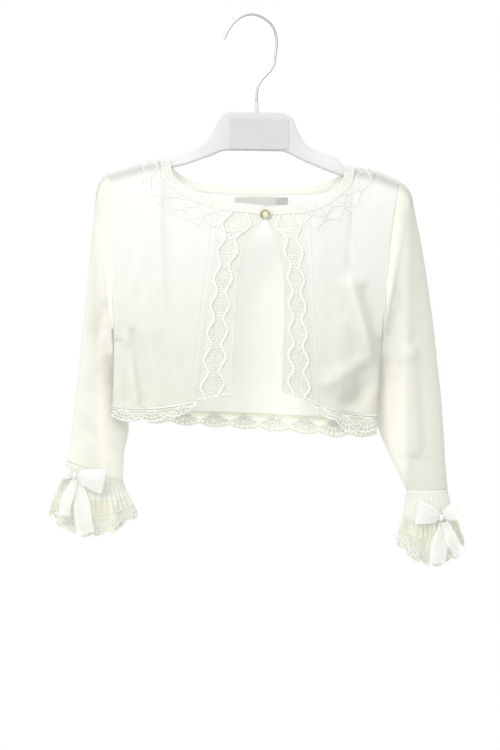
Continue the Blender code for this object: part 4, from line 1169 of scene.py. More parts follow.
def neck_line():
    """Points of the neckline and the face that each lies on, from the button round the back to the button."""
    zero = np.zeros(1)
    back = panel_grid("back", np.linspace(*BACK_NECK, 240), zero)[:, 0]
    lines = []
    for part, share in (("left", np.linspace(1, 0, 30)), ("right", np.linspace(0, 1, 30))):
        border = border_grid(part, share, np.zeros_like(share))
        numbers = np.linspace(len(FRONT_COLUMNS[part]) - 1, NECK_CORNER, 160)
        if part == "left":
            lines += [border, panel_grid(part, numbers, zero)[:, 0], back]
        else:
            lines += [panel_grid(part, numbers[::-1], zero)[:, 0], border]
    faces = [np.full(len(line), BACK if line is back else FRONT) for line in lines]
    return np.concatenate(lines), np.concatenate(faces)


class Neck:
    """The neckline with its length, normals and the direction up out of the cloth, evenly spaced."""

    def __init__(self):
        points, faces = neck_line()
        keep = np.concatenate([[True], np.linalg.norm(np.diff(points, axis=0), axis=1) > 1e-3])
        points, faces = points[keep], faces[keep]
        length = np.linalg.norm(np.diff(points, axis=0), axis=1).sum()
        count = round(length / NECK_STEP) + 1
        shares = even_shares(points, count) * (len(points) - 1)
        self.points = resample(points, count)
        self.face = faces[np.round(shares).astype(int)]
        self.run = np.linspace(0, length, count)
        x, z = self.points[:, 0], self.points[:, 2]
        outward = stack(np.zeros_like(x), self.face * 1.0, NECK_LEAN * np.ones_like(z))
        self.normals = blur(outward, NORMALS_BLUR)
        ahead = unit(blur(np.gradient(self.points, axis=0), AHEAD_BLUR))
        self.normals = unit(self.normals - ahead * (self.normals * ahead).sum(-1, keepdims=True))
        up = np.cross(self.normals, ahead)
        toward = np.array(NECK_CENTRE) - self.points
        up *= np.sign((up * toward).sum(-1, keepdims=True))
        self.up = unit(blur(up, UP_BLUR))


def blur(values, width):
    """Smooths a line of values over its neighbours."""
    weights = np.hanning(2 * width + 3)[1:-1]
    weights /= weights.sum()
    padded = np.concatenate([np.repeat(values[:1], width, 0), values, np.repeat(values[-1:], width, 0)])
    return np.stack([np.convolve(padded[:, k], weights, "valid") for k in range(values.shape[1])], axis=-1)


NECK_BLOCK = 4000  # points looked up at once, to keep the tables small


def near_neck(neck, points, face):
    """Run along the neckline and distance from it, in metres, for a panel's grid."""
    own = np.flatnonzero(neck.face == face)
    line = neck.points[own][::3]
    run = neck.run[own][::3]
    flat = points.reshape(-1, 3)
    best = np.empty(len(flat), int)
    off = np.empty(len(flat))
    for start in range(0, len(flat), NECK_BLOCK):
        own = slice(start, start + NECK_BLOCK)
        away = flat[own, None, ::2] - line[None, :, ::2]
        far = np.hypot(away[..., 0], away[..., 1])
        best[own] = far.argmin(1)
        off[own] = far.min(1)
    return np.stack([run[best], off], axis=-1).reshape(*points.shape[:2], 2) * MM


def make_panel(part, neck, colour):
    """A plain knit panel with the eyelet band round its neck, its stitches along its own grain."""
    face, columns, seams = PANELS[part]
    name, node = ("back_knit", "back") if face == BACK else (f"front_{part}_knit", f"front_{part}_view")
    steps = PANEL_STEPS[face]
    last = len(columns) - 1
    fine = np.linspace(0, last, 600)
    line = panel_grid(part, fine, np.array([EVEN_LEVEL]))[:, 0]
    u = np.interp(even_shares(line, steps[0]), np.linspace(0, 1, len(fine)), fine)
    u = np.unique(np.concatenate([u, [NECK_CORNER] if face == FRONT else list(BACK_NECK)]))
    v = np.linspace(0, 1, steps[1]) ** TOP_CROWDING
    inner = panel_grid(part, u, v)
    normals = grid_normals(inner, np.array([0.0, face, 0.0]))
    close = near_neck(neck, inner, face)
    calm = ease(v * CALM_STRIPS)[None, :] * ease((1 - v) * CALM_STRIPS)[None, :]
    calm = calm * ease((u / last) * CALM_STRIPS)[:, None]
    inner = inner + normals * (RIPPLE_HEIGHT * ripple(inner[..., 0], inner[..., 2]) * calm)[..., None]
    # Painted shade: a band along the shoulders of the fronts, where the hanger's arm shows through.
    drop = linear(SHOULDER_LINE, inner[..., 0]) - inner[..., 2]
    band = np.exp(-(((drop - ARM_BAND[0]) / ARM_BAND[1]) ** 2)) * (face == FRONT)
    seam = np.linalg.norm(inner - inner[-1:], axis=-1)
    beside = stack(seam * MM + (face == BACK), band)
    pile = Pile()
    flip = (inner[-1, -1, 0] > inner[0, -1, 0]) == (face == BACK)
    thick = np.full(inner.shape[:2], KNIT_WALL)
    pile.wall(inner, normals, thick, flat_coordinates(inner), flip=flip, neck=close, behind=beside)
    obj = pile.build(name, knit_material(f"{name} cloth", shade(colour), "yoke", PANEL_LIGHT[face]))
    return fit_piece(obj, "knit", node)


@operator("panels", "Back and fronts", "Make the plain knit back and both fronts")
def make_panels():
    neck = Neck()
    for part in ("left", "right"):
        obj = make_panel(part, neck, looks().cloth.knit)
    # The back is painted lighter: painted light for its shaded inside.
    obj = make_panel("back", neck, looks().cloth.back)


STITCH = 3.3  # length of one bead of a raised lace cord
CORD_RADIUS = 1.5
BORDER_STEPS = (40, 190)
RUNG_PITCH = 3.3
MESH_STRANDS = 4
LAY_STEP = 0.004  # share of the border over which its slope is measured
DIAMOND_RECESS = 0.55
MESH_RADIUS = 0.42
BAR_PITCH = 2.6
BAR_GAP = 0.06  # share of the width that the bars keep clear of the zigzag cord


def diamond_edges(v):
    """Shares of the border's width where the two zigzag cords run."""
    swing = np.abs((v * BORDER_DIAMONDS) % 1.0 * 2 - 1)
    swing = mix(swing, ease(swing), 0.8)
    half = mix(DIAMOND_WIDE, DIAMOND_NARROW, swing)
    return DIAMOND_CENTRE - half, DIAMOND_CENTRE + half


def lay(side, u, v, height):
    """Points that lie height above a border's wall, with its normals there."""
    point = border_grid(side, u, v)
    along = border_grid(side, u + LAY_STEP, v) - point
    down = border_grid(side, u, np.clip(v + LAY_STEP, 0, 1))
    down = down - border_grid(side, u, np.clip(v - LAY_STEP, 0, 1))
    normal = unit(np.cross(along, down))
    normal *= np.where(normal[..., 1:2] > 0, -1.0, 1.0)
    return point + normal * (LACE_WALL + height), normal


@operator(
    "borders", "Front borders", "Make the two lace front borders with their zigzag cords and open diamonds",
    "left", "right",
)
def make_border(side):
    """A lace front border: ground with its open diamonds, and the raised yarns on it."""
    cloth = looks().cloth
    u = np.linspace(0, 1, BORDER_STEPS[0])
    v = np.linspace(0, 1, BORDER_STEPS[1])
    grid_u, grid_v = np.meshgrid(u, v, indexing="ij")
    inner = border_grid(side, grid_u, grid_v)
    normals = grid_normals(inner, np.array([0.0, -1.0, 0.0]))
    low, high = diamond_edges(grid_v)
    width = np.linalg.norm(inner[-1] - inner[0], axis=-1)[None, :]
    inside = np.minimum(grid_u - low, high - grid_u) * width
    thick = LACE_WALL - ease(inside / 2.0) * DIAMOND_RECESS
    run = run_along(inner[len(u) // 2])
    flat = stack(grid_u * width, run) * MM
    slots = np.where(grid_u > high, 2, (inside > 0.4).astype(int))[:-1, :-1]
    pile = Pile()
    pile.wall(inner, normals, thick, flat, slots=slots, flip=side == "left")
    ground = pile.build(
        f"border_{side}_lace",
        knit_material("border knit", shade(cloth.knit), "edge"),
        lace_ground_material("open lace", shade(cloth.ground)),
        # Painted shade: the strip along the free edge, which rolls back, is a darker copy of the knit.
        knit_material("border edge", shade(cloth.ground, 0.95)),
    )
    fit_piece(ground, "lace", f"border_{side}_view")

    yarns = Pile()
    length = run[-1]
    v = np.linspace(0, 1, round(length / STITCH * 5))
    for line in diamond_edges(v):
        yarns.cord(*lay(side, line, v, 0.25), CORD_RADIUS, STITCH, 0.3, sides=8)
    rungs = round(length / RUNG_PITCH)
    for k in range(1, rungs):
        at = k / rungs
        ends = diamond_edges(np.array([at]))
        share = np.linspace(ends[0][0], ends[1][0], 9)
        sway = 0.35 / length * np.sin(np.linspace(0, 2 * np.pi, 9) + k)
        yarns.yarn(*lay(side, share, at + sway, -0.15), 0.45, sides=5, slot=1)
    for k in range(MESH_STRANDS):
        f = (k + 1) / (MESH_STRANDS + 1)
        line = mix(*diamond_edges(v), f) + 0.03 * np.sin(2 * np.pi * v * rungs / 2 + np.pi * k)
        yarns.yarn(*lay(side, line, v, -0.05), MESH_RADIUS, sides=5, slot=1)
    count = round(length / BAR_PITCH)
    for k in range(1, count):
        at = k / count
        low = diamond_edges(np.array([at]))[0][0] - BAR_GAP
        if low > BAR_GAP:
            bar = np.linspace(0.015, low, 5)
            yarns.yarn(*lay(side, bar, np.full(5, at), -0.2), MESH_RADIUS, sides=5, slot=1)
    share = np.linspace(0.0, 1.0, 60)
    yarns.cord(*lay(side, share, np.full_like(share, 0.994), 0.1), 0.9, STITCH, 0.3, slot=1)
    yarns.cord(*lay(side, np.full_like(v, 0.985), v, 0.0), 0.6, STITCH, 0.3, slot=2)
    cords = yarns.build(
        f"border_{side}_cords",
        yarn_material("lace yarn", shade(cloth.yarn)),
        yarn_material("mesh yarn", between(cloth.ground, cloth.yarn, 0.5)),
        yarn_material("edge yarn", shade(cloth.ground)),
    )
    fit_piece(cords, "lace")


RIB_PITCH = 3.3
RIB_HEIGHT = 0.85
EDGING_ROWS = 9
EDGING_CORDS = ((0.0, 0.55), (NECK_EDGING_WIDTH, 0.6))  # level above the neckline, radius
EDGING_CORD_LIFT = 0.5
BUTTON_GAP = 1.0
LEAF_ENDS = (-33.0, 56.0)  # the borders' tops, between which the band has no leaves


def stretches(values):
    """First and last places of each run of equal values, and the value."""
    breaks = np.flatnonzero(np.diff(values)) + 1
    edges = [0, *breaks, len(values)]
    return [(a, b, values[a]) for a, b in zip(edges, edges[1:])]


@operator(
    "neck", "Neck edging and leaves", "Make the ribbed neck edging and the leaf cords of the band below it"
)
def make_neck_edging():
    cloth = looks().cloth
    neck = Neck()
    reach = np.linspace(SEAM, NECK_EDGING_WIDTH, EDGING_ROWS)
    inner = neck.points[:, None] + neck.up[:, None] * reach[None, :, None]
    x, z = BUTTON_PLACE
    number = np.arange(len(neck.run))[:, None]
    first = (number < len(neck.run) / 4) & (inner[..., 1] < 0)
    last = (number > len(neck.run) * 3 / 4) & (inner[..., 1] < 0)
    inner[..., 0] = np.where(first, np.minimum(inner[..., 0], x - SEAM / 2), inner[..., 0])
    inner[..., 0] = np.where(last, np.maximum(inner[..., 0], x + SEAM / 2), inner[..., 0])
    rib = 0.5 + 0.5 * np.cos(2 * np.pi * neck.run / RIB_PITCH)
    bound = 1 - ease((reach - reach[-2]) / (reach[-1] - reach[-2])) * 0.4
    thick = LACE_WALL + RIB_HEIGHT * rib[:, None] * bound[None, :]
    flat = stack(neck.run[:, None], reach[None, :]) * MM
    pile = Pile()
    pile.wall(inner, np.broadcast_to(neck.normals[:, None], inner.shape), thick, flat, flip=True)
    edging = pile.build("neck_edging_rib", knit_material("edging knit", shade(cloth.yarn), "none", 0.5))
    fit_piece(edging, "lace", "neck_edging")

    yarns = Pile()
    for level, radius in EDGING_CORDS:
        path = neck.points + neck.up * level + neck.normals * (LACE_WALL + EDGING_CORD_LIFT)
        clip = np.clip(path[:, 0], None, x - BUTTON_GAP)
        path[:, 0] = np.where((neck.run < neck.run[-1] / 4) & (path[:, 1] < 0), clip, path[:, 0])
        clip = np.clip(path[:, 0], x + BUTTON_GAP, None)
        path[:, 0] = np.where((neck.run > neck.run[-1] * 3 / 4) & (path[:, 1] < 0), clip, path[:, 0])
        yarns.cord(path, neck.normals, radius, 1.8)
    for first, last, face in stretches(neck.face):
        x = neck.points[first:last, 0]
        keep = np.arange(first, last)[(face == BACK) | (x < LEAF_ENDS[0]) | (x > LEAF_ENDS[1])]
        turns = (neck.run[keep] / LEAF_PITCH) % 1.0
        swing = np.abs(turns * 2 - 1)
        for way in (-1, 1):
            down = mix(*LEAF_ROWS, 0.5 + way * mix(0.5, 0.06, swing))
            spot = neck.points[keep] - neck.up[keep] * down[:, None]
            y = body_y(face, spot[:, 0], spot[:, 2]) + face * (KNIT_WALL + 0.1)
            path = np.stack([spot[:, 0], y, spot[:, 2]], axis=-1)
            normal = np.tile([0.0, float(face), 0.2], (len(path), 1))
            yarns.cord(path, normal, 0.8, 2.6, 0.3, slot=1)
    trim = yarns.build(
        "neck_leaf_cords",
        yarn_material("lace yarn", shade(cloth.yarn)),
        yarn_material("yoke yarn", shade(cloth.knit)),
    )
    fit_piece(trim, "lace")


FAN_SPOKES = 7
HEM_ROWS = 12
HEM_STEP = 0.9
FAN_ANGLE = 1.18  # of the outermost spokes, from straight down
FAN_TOP = 1.2
FAN_WIDEN = 1.05
FAN_ARCS = ((0.42, 0.5), (0.72, 0.55))  # share of the fan's depth, radius
ARC_ANGLE = 1.3
CROCHET_MESH = (2.6, 0.6)  # pitch and radius of the holes in crochet


def fan(yarns, spot, width, depth, radius=0.6, spokes=FAN_SPOKES, start=0.12):
    """Crochet fan: spokes from the middle of its top and arcs across them.

    spot turns arrays of across and down, in millimetres from the fan's top left, into points and normals.
    """
    half = width / 2

    def ray(angle, share):
        across = half + share * np.sin(angle) * half * FAN_WIDEN
        return spot(across, FAN_TOP + share * (depth(across) - FAN_TOP) * (0.55 + 0.45 * np.cos(angle)))

    for k in range(spokes):
        angle = mix(-FAN_ANGLE, FAN_ANGLE, k / (spokes - 1))
        yarns.cord(*ray(angle, np.linspace(start, 0.97, 9)), radius, 2.4, 0.25, sides=5)
    for share, thick in FAN_ARCS:
        yarns.cord(*ray(np.linspace(-ARC_ANGLE, ARC_ANGLE, 19), share), thick, 1.9, 0.25, sides=5)


HEM_WAVE = 0.8
HEM_WAVE_PHASE = 0.6
HEM_WAVE_START = 12  # how far down the wave is full
HEADER_CORDS = ((0.8, 0.75), (3.4, 0.5))  # level below the knit's edge, radius


@operator(
    "hems", "Lace hems", "Make the crocheted scalloped hems of the back and the fronts",
    "left", "right", "back",
)
def make_hem(part):
    """A crocheted scalloped hem: ground, fans, header chain and picot rim."""
    cloth = looks().cloth
    face, columns, seams = PANELS[part]
    node = "hem_lace_back" if part == "back" else f"hem_lace_{part}_view"
    name = node.removesuffix("_view")
    numbers = np.linspace(0, len(columns) - 1, 900)
    edge = panel_grid(part, numbers, np.array([0.985, 1.0]))
    line = edge[:, 1]
    length = np.linalg.norm(np.diff(line, axis=0), axis=1).sum()
    count = round(length / HEM_STEP) + 1
    line = resample(line, count)
    ahead = unit(np.gradient(line, axis=0))
    normals = unit(np.cross(ahead, np.array([0.0, 0.0, 1.0])))
    normals *= np.sign(normals[:, 1:2]) * face
    normals = unit(blur(normals, 3))
    run = np.linspace(0, length, count)
    scallops = SCALLOPS[part]
    phase = run / length * scallops

    def depth_at(s):
        deep = linear(LACE_DEPTH[part], np.interp(s, run, line[:, 0]))
        notch = SCALLOP_NOTCH * (1 - np.abs(np.sin(np.pi * s / length * scallops)) ** 0.7)
        return np.maximum(SCALLOP_LEAST * deep, deep - notch)

    def spot(s, down, height=0.3):
        normal = look_up(s, run, normals)
        turn = 2 * np.pi * s / length * scallops + HEM_WAVE_PHASE
        wave = HEM_WAVE * np.sin(turn) * ease(down / HEM_WAVE_START)
        point = look_up(s, run, line) + normal * (LACE_WALL + height + wave)[..., None]
        return point - stack(np.zeros_like(down), np.zeros_like(down), down), normal

    share = np.linspace(0, 1, HEM_ROWS)
    down = SEAM + (depth_at(run)[:, None] - SEAM) * share[None, :]
    wave = HEM_WAVE * np.sin(2 * np.pi * phase + HEM_WAVE_PHASE)[:, None] * ease(down / HEM_WAVE_START)
    inner = line[:, None] - stack(down * 0, down * 0, down)
    inner = inner + normals[:, None] * wave[..., None]
    flat = np.stack([np.broadcast_to(run[:, None], down.shape), down], axis=-1) * MM
    pile = Pile()
    forward = line[-1, 0] > line[0, 0]
    pile.wall(
        inner, np.broadcast_to(normals[:, None], inner.shape), np.full(down.shape, LACE_WALL - 0.3), flat,
        flip=forward == (face == BACK),
    )
    # Painted light and shade: the back's hem ground is painted lighter where it faces the shaded inside, the
    # fronts' darker where they hang in shade.
    tone, light = (1.08, 0.7) if part == "back" else (0.95, 0.15)
    mesh = lace_ground_material(f"crochet ground {part}", shade(cloth.ground, tone), *CROCHET_MESH, light)
    ground = pile.build(f"{name}_ground", mesh)
    fit_piece(ground, "lace", node)

    yarns = Pile()
    for k in range(scallops):
        start = k * length / scallops
        for height in (0.3, -LACE_WALL - 0.1) if part == "back" else (0.3,):
            fan(
                yarns, lambda a, d: spot(start + a, d, height), length / scallops,
                lambda a: depth_at(start + a),
            )
    for level, radius in HEADER_CORDS:
        yarns.cord(*spot(run, np.full_like(run, level), 0.35), radius, 2.2)
    s = np.linspace(0, length, count * 2)
    loops = 0.9 * np.abs(np.sin(np.pi * s / (length / scallops / 6)))
    yarns.cord(*spot(s, depth_at(s) - 0.6 + loops, 0.1), 0.8, 2.4, 0.25)
    trim = yarns.build(f"{name}_fans", yarn_material("crochet yarn", shade(cloth.yarn)))
    fit_piece(trim, "lace")
    deepest = max(row[1] for row in LACE_DEPTH[part])


SLEEVE_STEPS = (120, 170)
SLEEVE_CREASE = {"left": -168.0, "right": 172.0}  # x where the flattened sleeve's outer half starts
OUTER_SHADE = {"left": 0.34, "right": 0.6}
CAP_SHADE = 0.3  # on the sleeve's head
CAP_SHARE = 0.3  # share of the sleeve's rows that belongs to its cap, above its widest cut


@operator("sleeves", "Sleeves", "Make both sleeves and the seams round the armholes", "left", "right")
def make_sleeve(side):
    cloth = looks().cloth
    last = len(SLEEVE_SECTIONS[side]) - 1
    around = np.linspace(0, 1, SLEEVE_STEPS[0], endpoint=False)
    fine = np.linspace(0, last, 500)
    line = sleeve_points(side, np.full_like(fine, 0.5), fine)
    outer = sleeve_points(side, np.zeros_like(fine), fine)
    shares = (even_shares(line, SLEEVE_STEPS[1]) + even_shares(outer, SLEEVE_STEPS[1])) / 2
    t = np.interp(shares, np.linspace(0, 1, len(fine)), fine)
    grid_a, grid_t = np.meshgrid(around, t, indexing="ij")
    inner = sleeve_points(side, grid_a, grid_t)
    centre = inner.mean(axis=0, keepdims=True)
    normals = grid_normals(inner, inner - centre, closed=True)
    calm = ease(grid_t) * ease((last - grid_t) * 2)
    lift = RIPPLE_HEIGHT * ripple(inner[..., 0] * 1.2, inner[..., 2]) * calm
    inner = inner + normals * lift[..., None]
    under = ease((0.5 - np.abs(grid_a - 0.5)) * 4)
    thick = mix(mix(KNIT_WALL, 0.7, under), KNIT_WALL, ease(grid_t / 1.5))
    flat = tube_coordinates(inner)
    run = np.abs(flat[:-1, :, 0]) / MM
    # Painted shade: a band along the top where the hanger's arm ends, the flattened sleeve's outer half and
    # its head.
    band = np.exp(-(((run - ARM_BAND[0]) / (ARM_BAND[1] * 1.3)) ** 2)) * (1 - ease((grid_t - 2.2) / 2.2))
    away = inner[..., 0] - SLEEVE_CREASE[side]
    outer = ease((away if side == "right" else -away) / 9 + 0.5) * OUTER_SHADE[side]
    cap = ease((inner[..., 2] + 238) / 24) * CAP_SHADE
    dark = np.maximum(np.maximum(outer, cap), band * (inner[..., 1] < 4))
    behind = stack(np.ones_like(band), dark)
    pile = Pile()
    pile.wall(inner, normals, thick, flat, closed=True, behind=behind, flip=side == "right")
    obj = pile.build(f"sleeve_{side}_knit", knit_material("sleeve knit", shade(cloth.sleeve), "none", 0.12))
    fit_piece(obj, "knit", f"sleeve_{side}_view")
    girth = tube_cut(inner[:, round(CAP_SHARE * len(t)):])[0]
    tube_cut(inner)[1]
    tube_area(inner)

    seam = Pile()
    turn = np.linspace(0, 1, 420, endpoint=False)
    ring = sleeve_points(side, turn, np.zeros_like(turn))
    away = -1.0 if side == "left" else 1.0
    facing = np.where(np.sin(2 * np.pi * turn) >= 0, -1.0, 1.0)
    out = unit(stack(np.zeros_like(turn), facing, np.cos(2 * np.pi * turn)))
    seam.cord(ring + out * 1.25 - np.array([away * 0.5, 0, 0]), out, 0.62, 2.0, closed=True)
    cord = seam.build(f"armhole_{side}_seam", yarn_material("seam yarn", shade(cloth.sleeve)))
    fit_piece(cord, "knit")


def tube_area(points):
    """Area of a closed grid of points, in square metres."""
    ring = np.concatenate([points, points[:1]])
    a = ring[1:, :-1] - ring[:-1, :-1]
    b = ring[:-1, 1:] - ring[:-1, :-1]
    return round(float(np.linalg.norm(np.cross(a, b), axis=-1).sum()) * MM * MM, 4)


def tube_cut(points):
    """Widest girth and longest line of a closed grid: the flat cut that it is sewn from, in metres."""
    ring = np.concatenate([points, points[:1]])
    girth = np.linalg.norm(np.diff(ring, axis=0), axis=-1).sum(axis=0).max()
    length = np.linalg.norm(np.diff(points, axis=1), axis=-1).sum(axis=1).max()
    return round(girth * MM, 3), round(length * MM, 3)


FRILL_STEPS = (324, 56)
FRILL_LACE = 0.66  # share of the frill's length where its lace band starts
FRILL_FANS = 18
FRILL_MESH = 0.42  # where its open mesh starts
FRILL_GATHERS = 36
FRILL_CORDS = ((0.035, 0.42), (0.13, 0.42), (FRILL_LACE, 0.5))  # share of the way down, radius
TURN_STEP = 0.002
LEVEL_STEP = 0.02
FAN_BOX = 10.0  # a fan's own width and depth, before it is laid into the frill
RIM_POINTS = 1080


@operator("cuffs", "Cuff frills", "Make the flared lace frills of both cuffs", "left", "right")
def make_frill(side):
    cloth = looks().cloth
    around = np.linspace(0, 1, FRILL_STEPS[0], endpoint=False)
    s = np.linspace(0, 1, FRILL_STEPS[1])
    grid_a, grid_s = np.meshgrid(around, s, indexing="ij")
    inner = frill_points(side, grid_a, grid_s)
    normals = grid_normals(inner, inner - inner.mean(axis=0, keepdims=True), closed=True)
    gather = 0.4 * np.cos(2 * np.pi * FRILL_GATHERS * grid_a) * ease(grid_s * 8) * ease((0.7 - grid_s) * 4)
    inner = inner + normals * gather[..., None]
    thick = np.full(grid_s.shape, LACE_WALL) - 0.3 * (grid_s > FRILL_MESH)
    flat = tube_coordinates(inner)
    slots = (grid_s[:, :-1] > FRILL_MESH).astype(int)
    pile = Pile()
    pile.wall(inner, normals, thick, flat, closed=True, slots=slots, flip=side == "right")
    ground = pile.build(
        f"frill_{side}_knit",
        knit_material("frill knit", between(cloth.sleeve, cloth.ground, 0.6), "none"),
        lace_ground_material("frill ground", shade(cloth.ground, 1.04), *CROCHET_MESH),
    )
    fit_piece(ground, "lace", f"frill_{side}_view")

    def spot(a, level, height=0.25):
        point = frill_points(side, a, level)
        along = frill_points(side, a + TURN_STEP, level) - frill_points(side, a - TURN_STEP, level)
        down = frill_points(side, a, np.clip(level + LEVEL_STEP, 0, 1))
        down = down - frill_points(side, a, np.clip(level - LEVEL_STEP, 0, 1))
        normal = unit(np.cross(along, down))
        centre = frill_points(side, np.linspace(0, 1, 24, endpoint=False), np.full(24, 0.5)).mean(axis=0)
        outward = point - centre
        outward[..., 2] = 0
        normal *= np.sign((normal * outward).sum(-1, keepdims=True))
        return point + normal * (LACE_WALL + height), normal

    yarns = Pile()
    ring = np.linspace(0, 1, 360, endpoint=False)
    for level, radius in FRILL_CORDS:
        yarns.cord(*spot(ring, np.full_like(ring, level), 0.1), radius, 2.2, closed=True)
    for k in range(FRILL_GATHERS):
        level = np.linspace(FRILL_MESH - 0.06, FRILL_LACE, 9)
        yarns.cord(*spot(np.full_like(level, k / FRILL_GATHERS), level, 0.0), 0.65, 2.4, 0.4, sides=5, slot=1)
    width = 1 / FRILL_FANS
    for k in range(FRILL_FANS):

        def fan_spot(a, d, start=(k + 0.5) / FRILL_FANS):
            return spot(start + a / FAN_BOX * width, FRILL_LACE + (1 - FRILL_LACE) * d / FAN_BOX)

        fan(yarns, fan_spot, FAN_BOX, lambda a: np.full_like(a, FAN_BOX), 0.5, 5, 0.35)
    fine = np.linspace(0, 1, RIM_POINTS, endpoint=False)
    loops = 0.012 * np.abs(np.sin(np.pi * fine * FRILL_FANS * 5))
    yarns.yarn(*spot(fine, 0.985 + loops, -0.3), 0.75, closed=True)
    trim = yarns.build(
        f"frill_{side}_fans",
        yarn_material("crochet yarn", shade(cloth.yarn)),
        yarn_material("mesh yarn", between(cloth.ground, cloth.yarn, 0.5)),
    )
    fit_piece(trim, "lace")
    tube_cut(inner)


RIBBON_WALL = 0.35
LOOP_START = 3.6
LOOP_OPEN = 2.6
LOOP_PINCH = 5.0
TAIL_START = 4.7
TAIL_STAGGER = 2.6
TAIL_PINCH = 6.0
TAIL_WAVE = (1.8, 1.6)
RIBBON_CROWN = 0.9
RIBBON_ROWS = 13


def add_ribbon(pile, path, widths, across):
    """A ribbon along path, gathered into small pleats where it is narrow."""
    ahead = unit(np.gradient(path, axis=0))
    side = unit(across - ahead * (ahead @ across)[:, None])
    normal = np.cross(ahead, side)
    share = np.linspace(-0.5, 0.5, RIBBON_ROWS)
    crown = RIBBON_CROWN * (1 - (2 * share) ** 2)
    pleat = np.cos(share * 2 * np.pi * 3) * 0.55
    tight = np.clip(1.6 - widths / widths.max() * 1.3, 0.0, 1.0)
    lift = crown[None, :] + pleat[None, :] * tight[:, None]
    points = path[:, None] + side[:, None] * (widths[:, None] * share[None, :])[..., None]
    points = points + normal[:, None] * lift[..., None]
    run = run_along(path)[:, None]
    flat = stack(share[None, :] * widths.max(), run) * MM
    normals = grid_normals(points, normal[:, None])
    pile.wall(points, normals, np.full(points.shape[:2], RIBBON_WALL), flat)


KNOT_SIZE = (2.9, 3.3, 3.9)  # its radius across and from front to back, and half its height
KNOT_WALL = 0.5


@operator("bows", "Ribbon bows", "Make the sheer ribbon bow on each cuff", "left", "right")
def make_bow(side):
    cloth = looks().cloth
    spec = BOWS[side]
    knot = np.array(spec["knot"])
    ribbon = Pile()
    for *end, width in spec["loops"]:
        end = np.array(end)
        length = np.linalg.norm(end - knot)
        run = (end - knot) / length
        a = np.linspace(0, 2 * np.pi, 64)
        out = mix(LOOP_START, length, (1 - np.cos(a)) / 2)
        lift = -LOOP_OPEN * np.sin(a) * np.minimum(1.0, out / length + 0.25)
        path = knot + run * out[:, None]
        path[:, 1] += lift - RIBBON_CROWN * np.cos(a / 2)
        widths = mix(LOOP_PINCH, width, np.maximum(0.0, np.sin(a / 2)) ** 0.8)
        add_ribbon(ribbon, path, widths, np.cross(run, [0, 1, 0]))
    for number, (*end, width) in enumerate(spec["tails"], 1):
        end = np.array(end)
        start = knot + unit(end - knot) * TAIL_START
        start[1] += (1 - number) * TAIL_STAGGER
        t = np.linspace(0, 1, 48)
        sway, nod = TAIL_WAVE
        path = mix(start, end, t[:, None])
        path[:, 1] += nod * (np.sin(t * 5 + number) - math.sin(number))
        path[:, 0] += sway * np.sin(t * 4 + number)
        widths = mix(TAIL_PINCH, width, np.minimum(1.0, t * 2.2))
        add_ribbon(ribbon, path, widths, unit(np.cross(end - start, [0, 1, 0])))
    obj = ribbon.build(f"bow_{side}_ribbon", ribbon_material("sheer ribbon", shade(cloth.ribbon)))
    nodes = [f"bow_{kind}_{side}_{n}" for kind in ("loop", "tail") for n in (1, 2)]
    fit_piece(obj, "ribbon", *nodes)

    wrap = Pile()
    a = np.linspace(0, 2 * np.pi, 40, endpoint=False)
    b = np.linspace(-1, 1, 15)
    swell = 1 + 0.08 * np.cos(b * 9.0)[None, :]
    tuck = np.sqrt(np.maximum(0.0, 1 - (0.86 * b[None, :]) ** 2)) * swell
    wide, deep, high = KNOT_SIZE
    x = wide * np.cos(a)[:, None] * tuck
    y = deep * np.sin(a)[:, None] * tuck
    points = knot + np.stack([x, y, np.broadcast_to(high * b[None, :], x.shape)], axis=-1)
    normals = grid_normals(points, points - knot, closed=True)
    thick = np.full(x.shape, KNOT_WALL)
    wrap.wall(points - normals * KNOT_WALL, normals, thick, tube_coordinates(points), closed=True)
    knot_obj = wrap.build(f"bow_{side}_knot", ribbon_material("knot ribbon", shade(cloth.ribbon), 0.0))
    fit_piece(knot_obj, "ribbon", f"bow_knot_{side}")


def make_label(name, node, place, colour):
    """A bare woven label on the inside of the back, its side edges stitched down."""
    x0, x1, top, bottom = place
    x = np.linspace(x0, x1, 34)[:, None]
    z = np.linspace(top, bottom, 14)[None, :]
    x, z = np.broadcast_arrays(x, z)
    curl = 0.35 * ((z - top) / (bottom - top)) ** 2
    y = body_y(BACK, x, z) - SEAM - curl
    inner = stack(x, y, z)
    normals = np.broadcast_to(np.array([0.0, -1.0, 0.0]), inner.shape)
    pile = Pile()
    pile.wall(inner, normals, np.full(x.shape, LABEL_WALL), stack(x, z) * MM)
    obj = pile.build(name, ribbon_material(f"{name} satin", colour, 0.0, 0.0003))
    fit_piece(obj, "label", node)
    stitches = Pile()
    for edge in (x0 + 0.9, x1 - 0.9):
        for k in range(7):
            zs = mix(top - 1.0, bottom + 1.0, (k + np.linspace(0.1, 0.75, 4)) / 7)
            xs = np.full_like(zs, edge)
            ys = body_y(BACK, xs, zs) - SEAM - LABEL_WALL - 0.25
            path = stack(xs, ys, zs)
            stitches.yarn(path, np.tile([0.0, -1.0, 0.0], (4, 1)), 0.16, sides=5)
    thread = stitches.build(f"{name}_stitches", yarn_material("sewing thread", (0.8, 0.8, 0.76)))
    fit_piece(thread, "label")


@operator("labels", "Labels", "Make the bare woven label and its side tab inside the back neck")
def make_labels():
    colour = shade(looks().fittings.label)
    make_label("neck_label", "label", LABEL_MAIN, colour)
    make_label("neck_size_tab", "size_tab", LABEL_TAB, shade(colour, 0.84))


BUTTON_PROFILE = (  # radius, height of the button's face and back
    (0.0, 2.0), (1.4, 1.85), (2.4, 1.6), (3.0, 1.75), (3.6, 2.35), (4.3, 2.75), (4.95, 2.55), (5.3, 1.9),
    (5.35, 1.2), (5.1, 0.5), (4.4, 0.1), (0.0, 0.0),
)
LOOP_RADIUS = 6.2


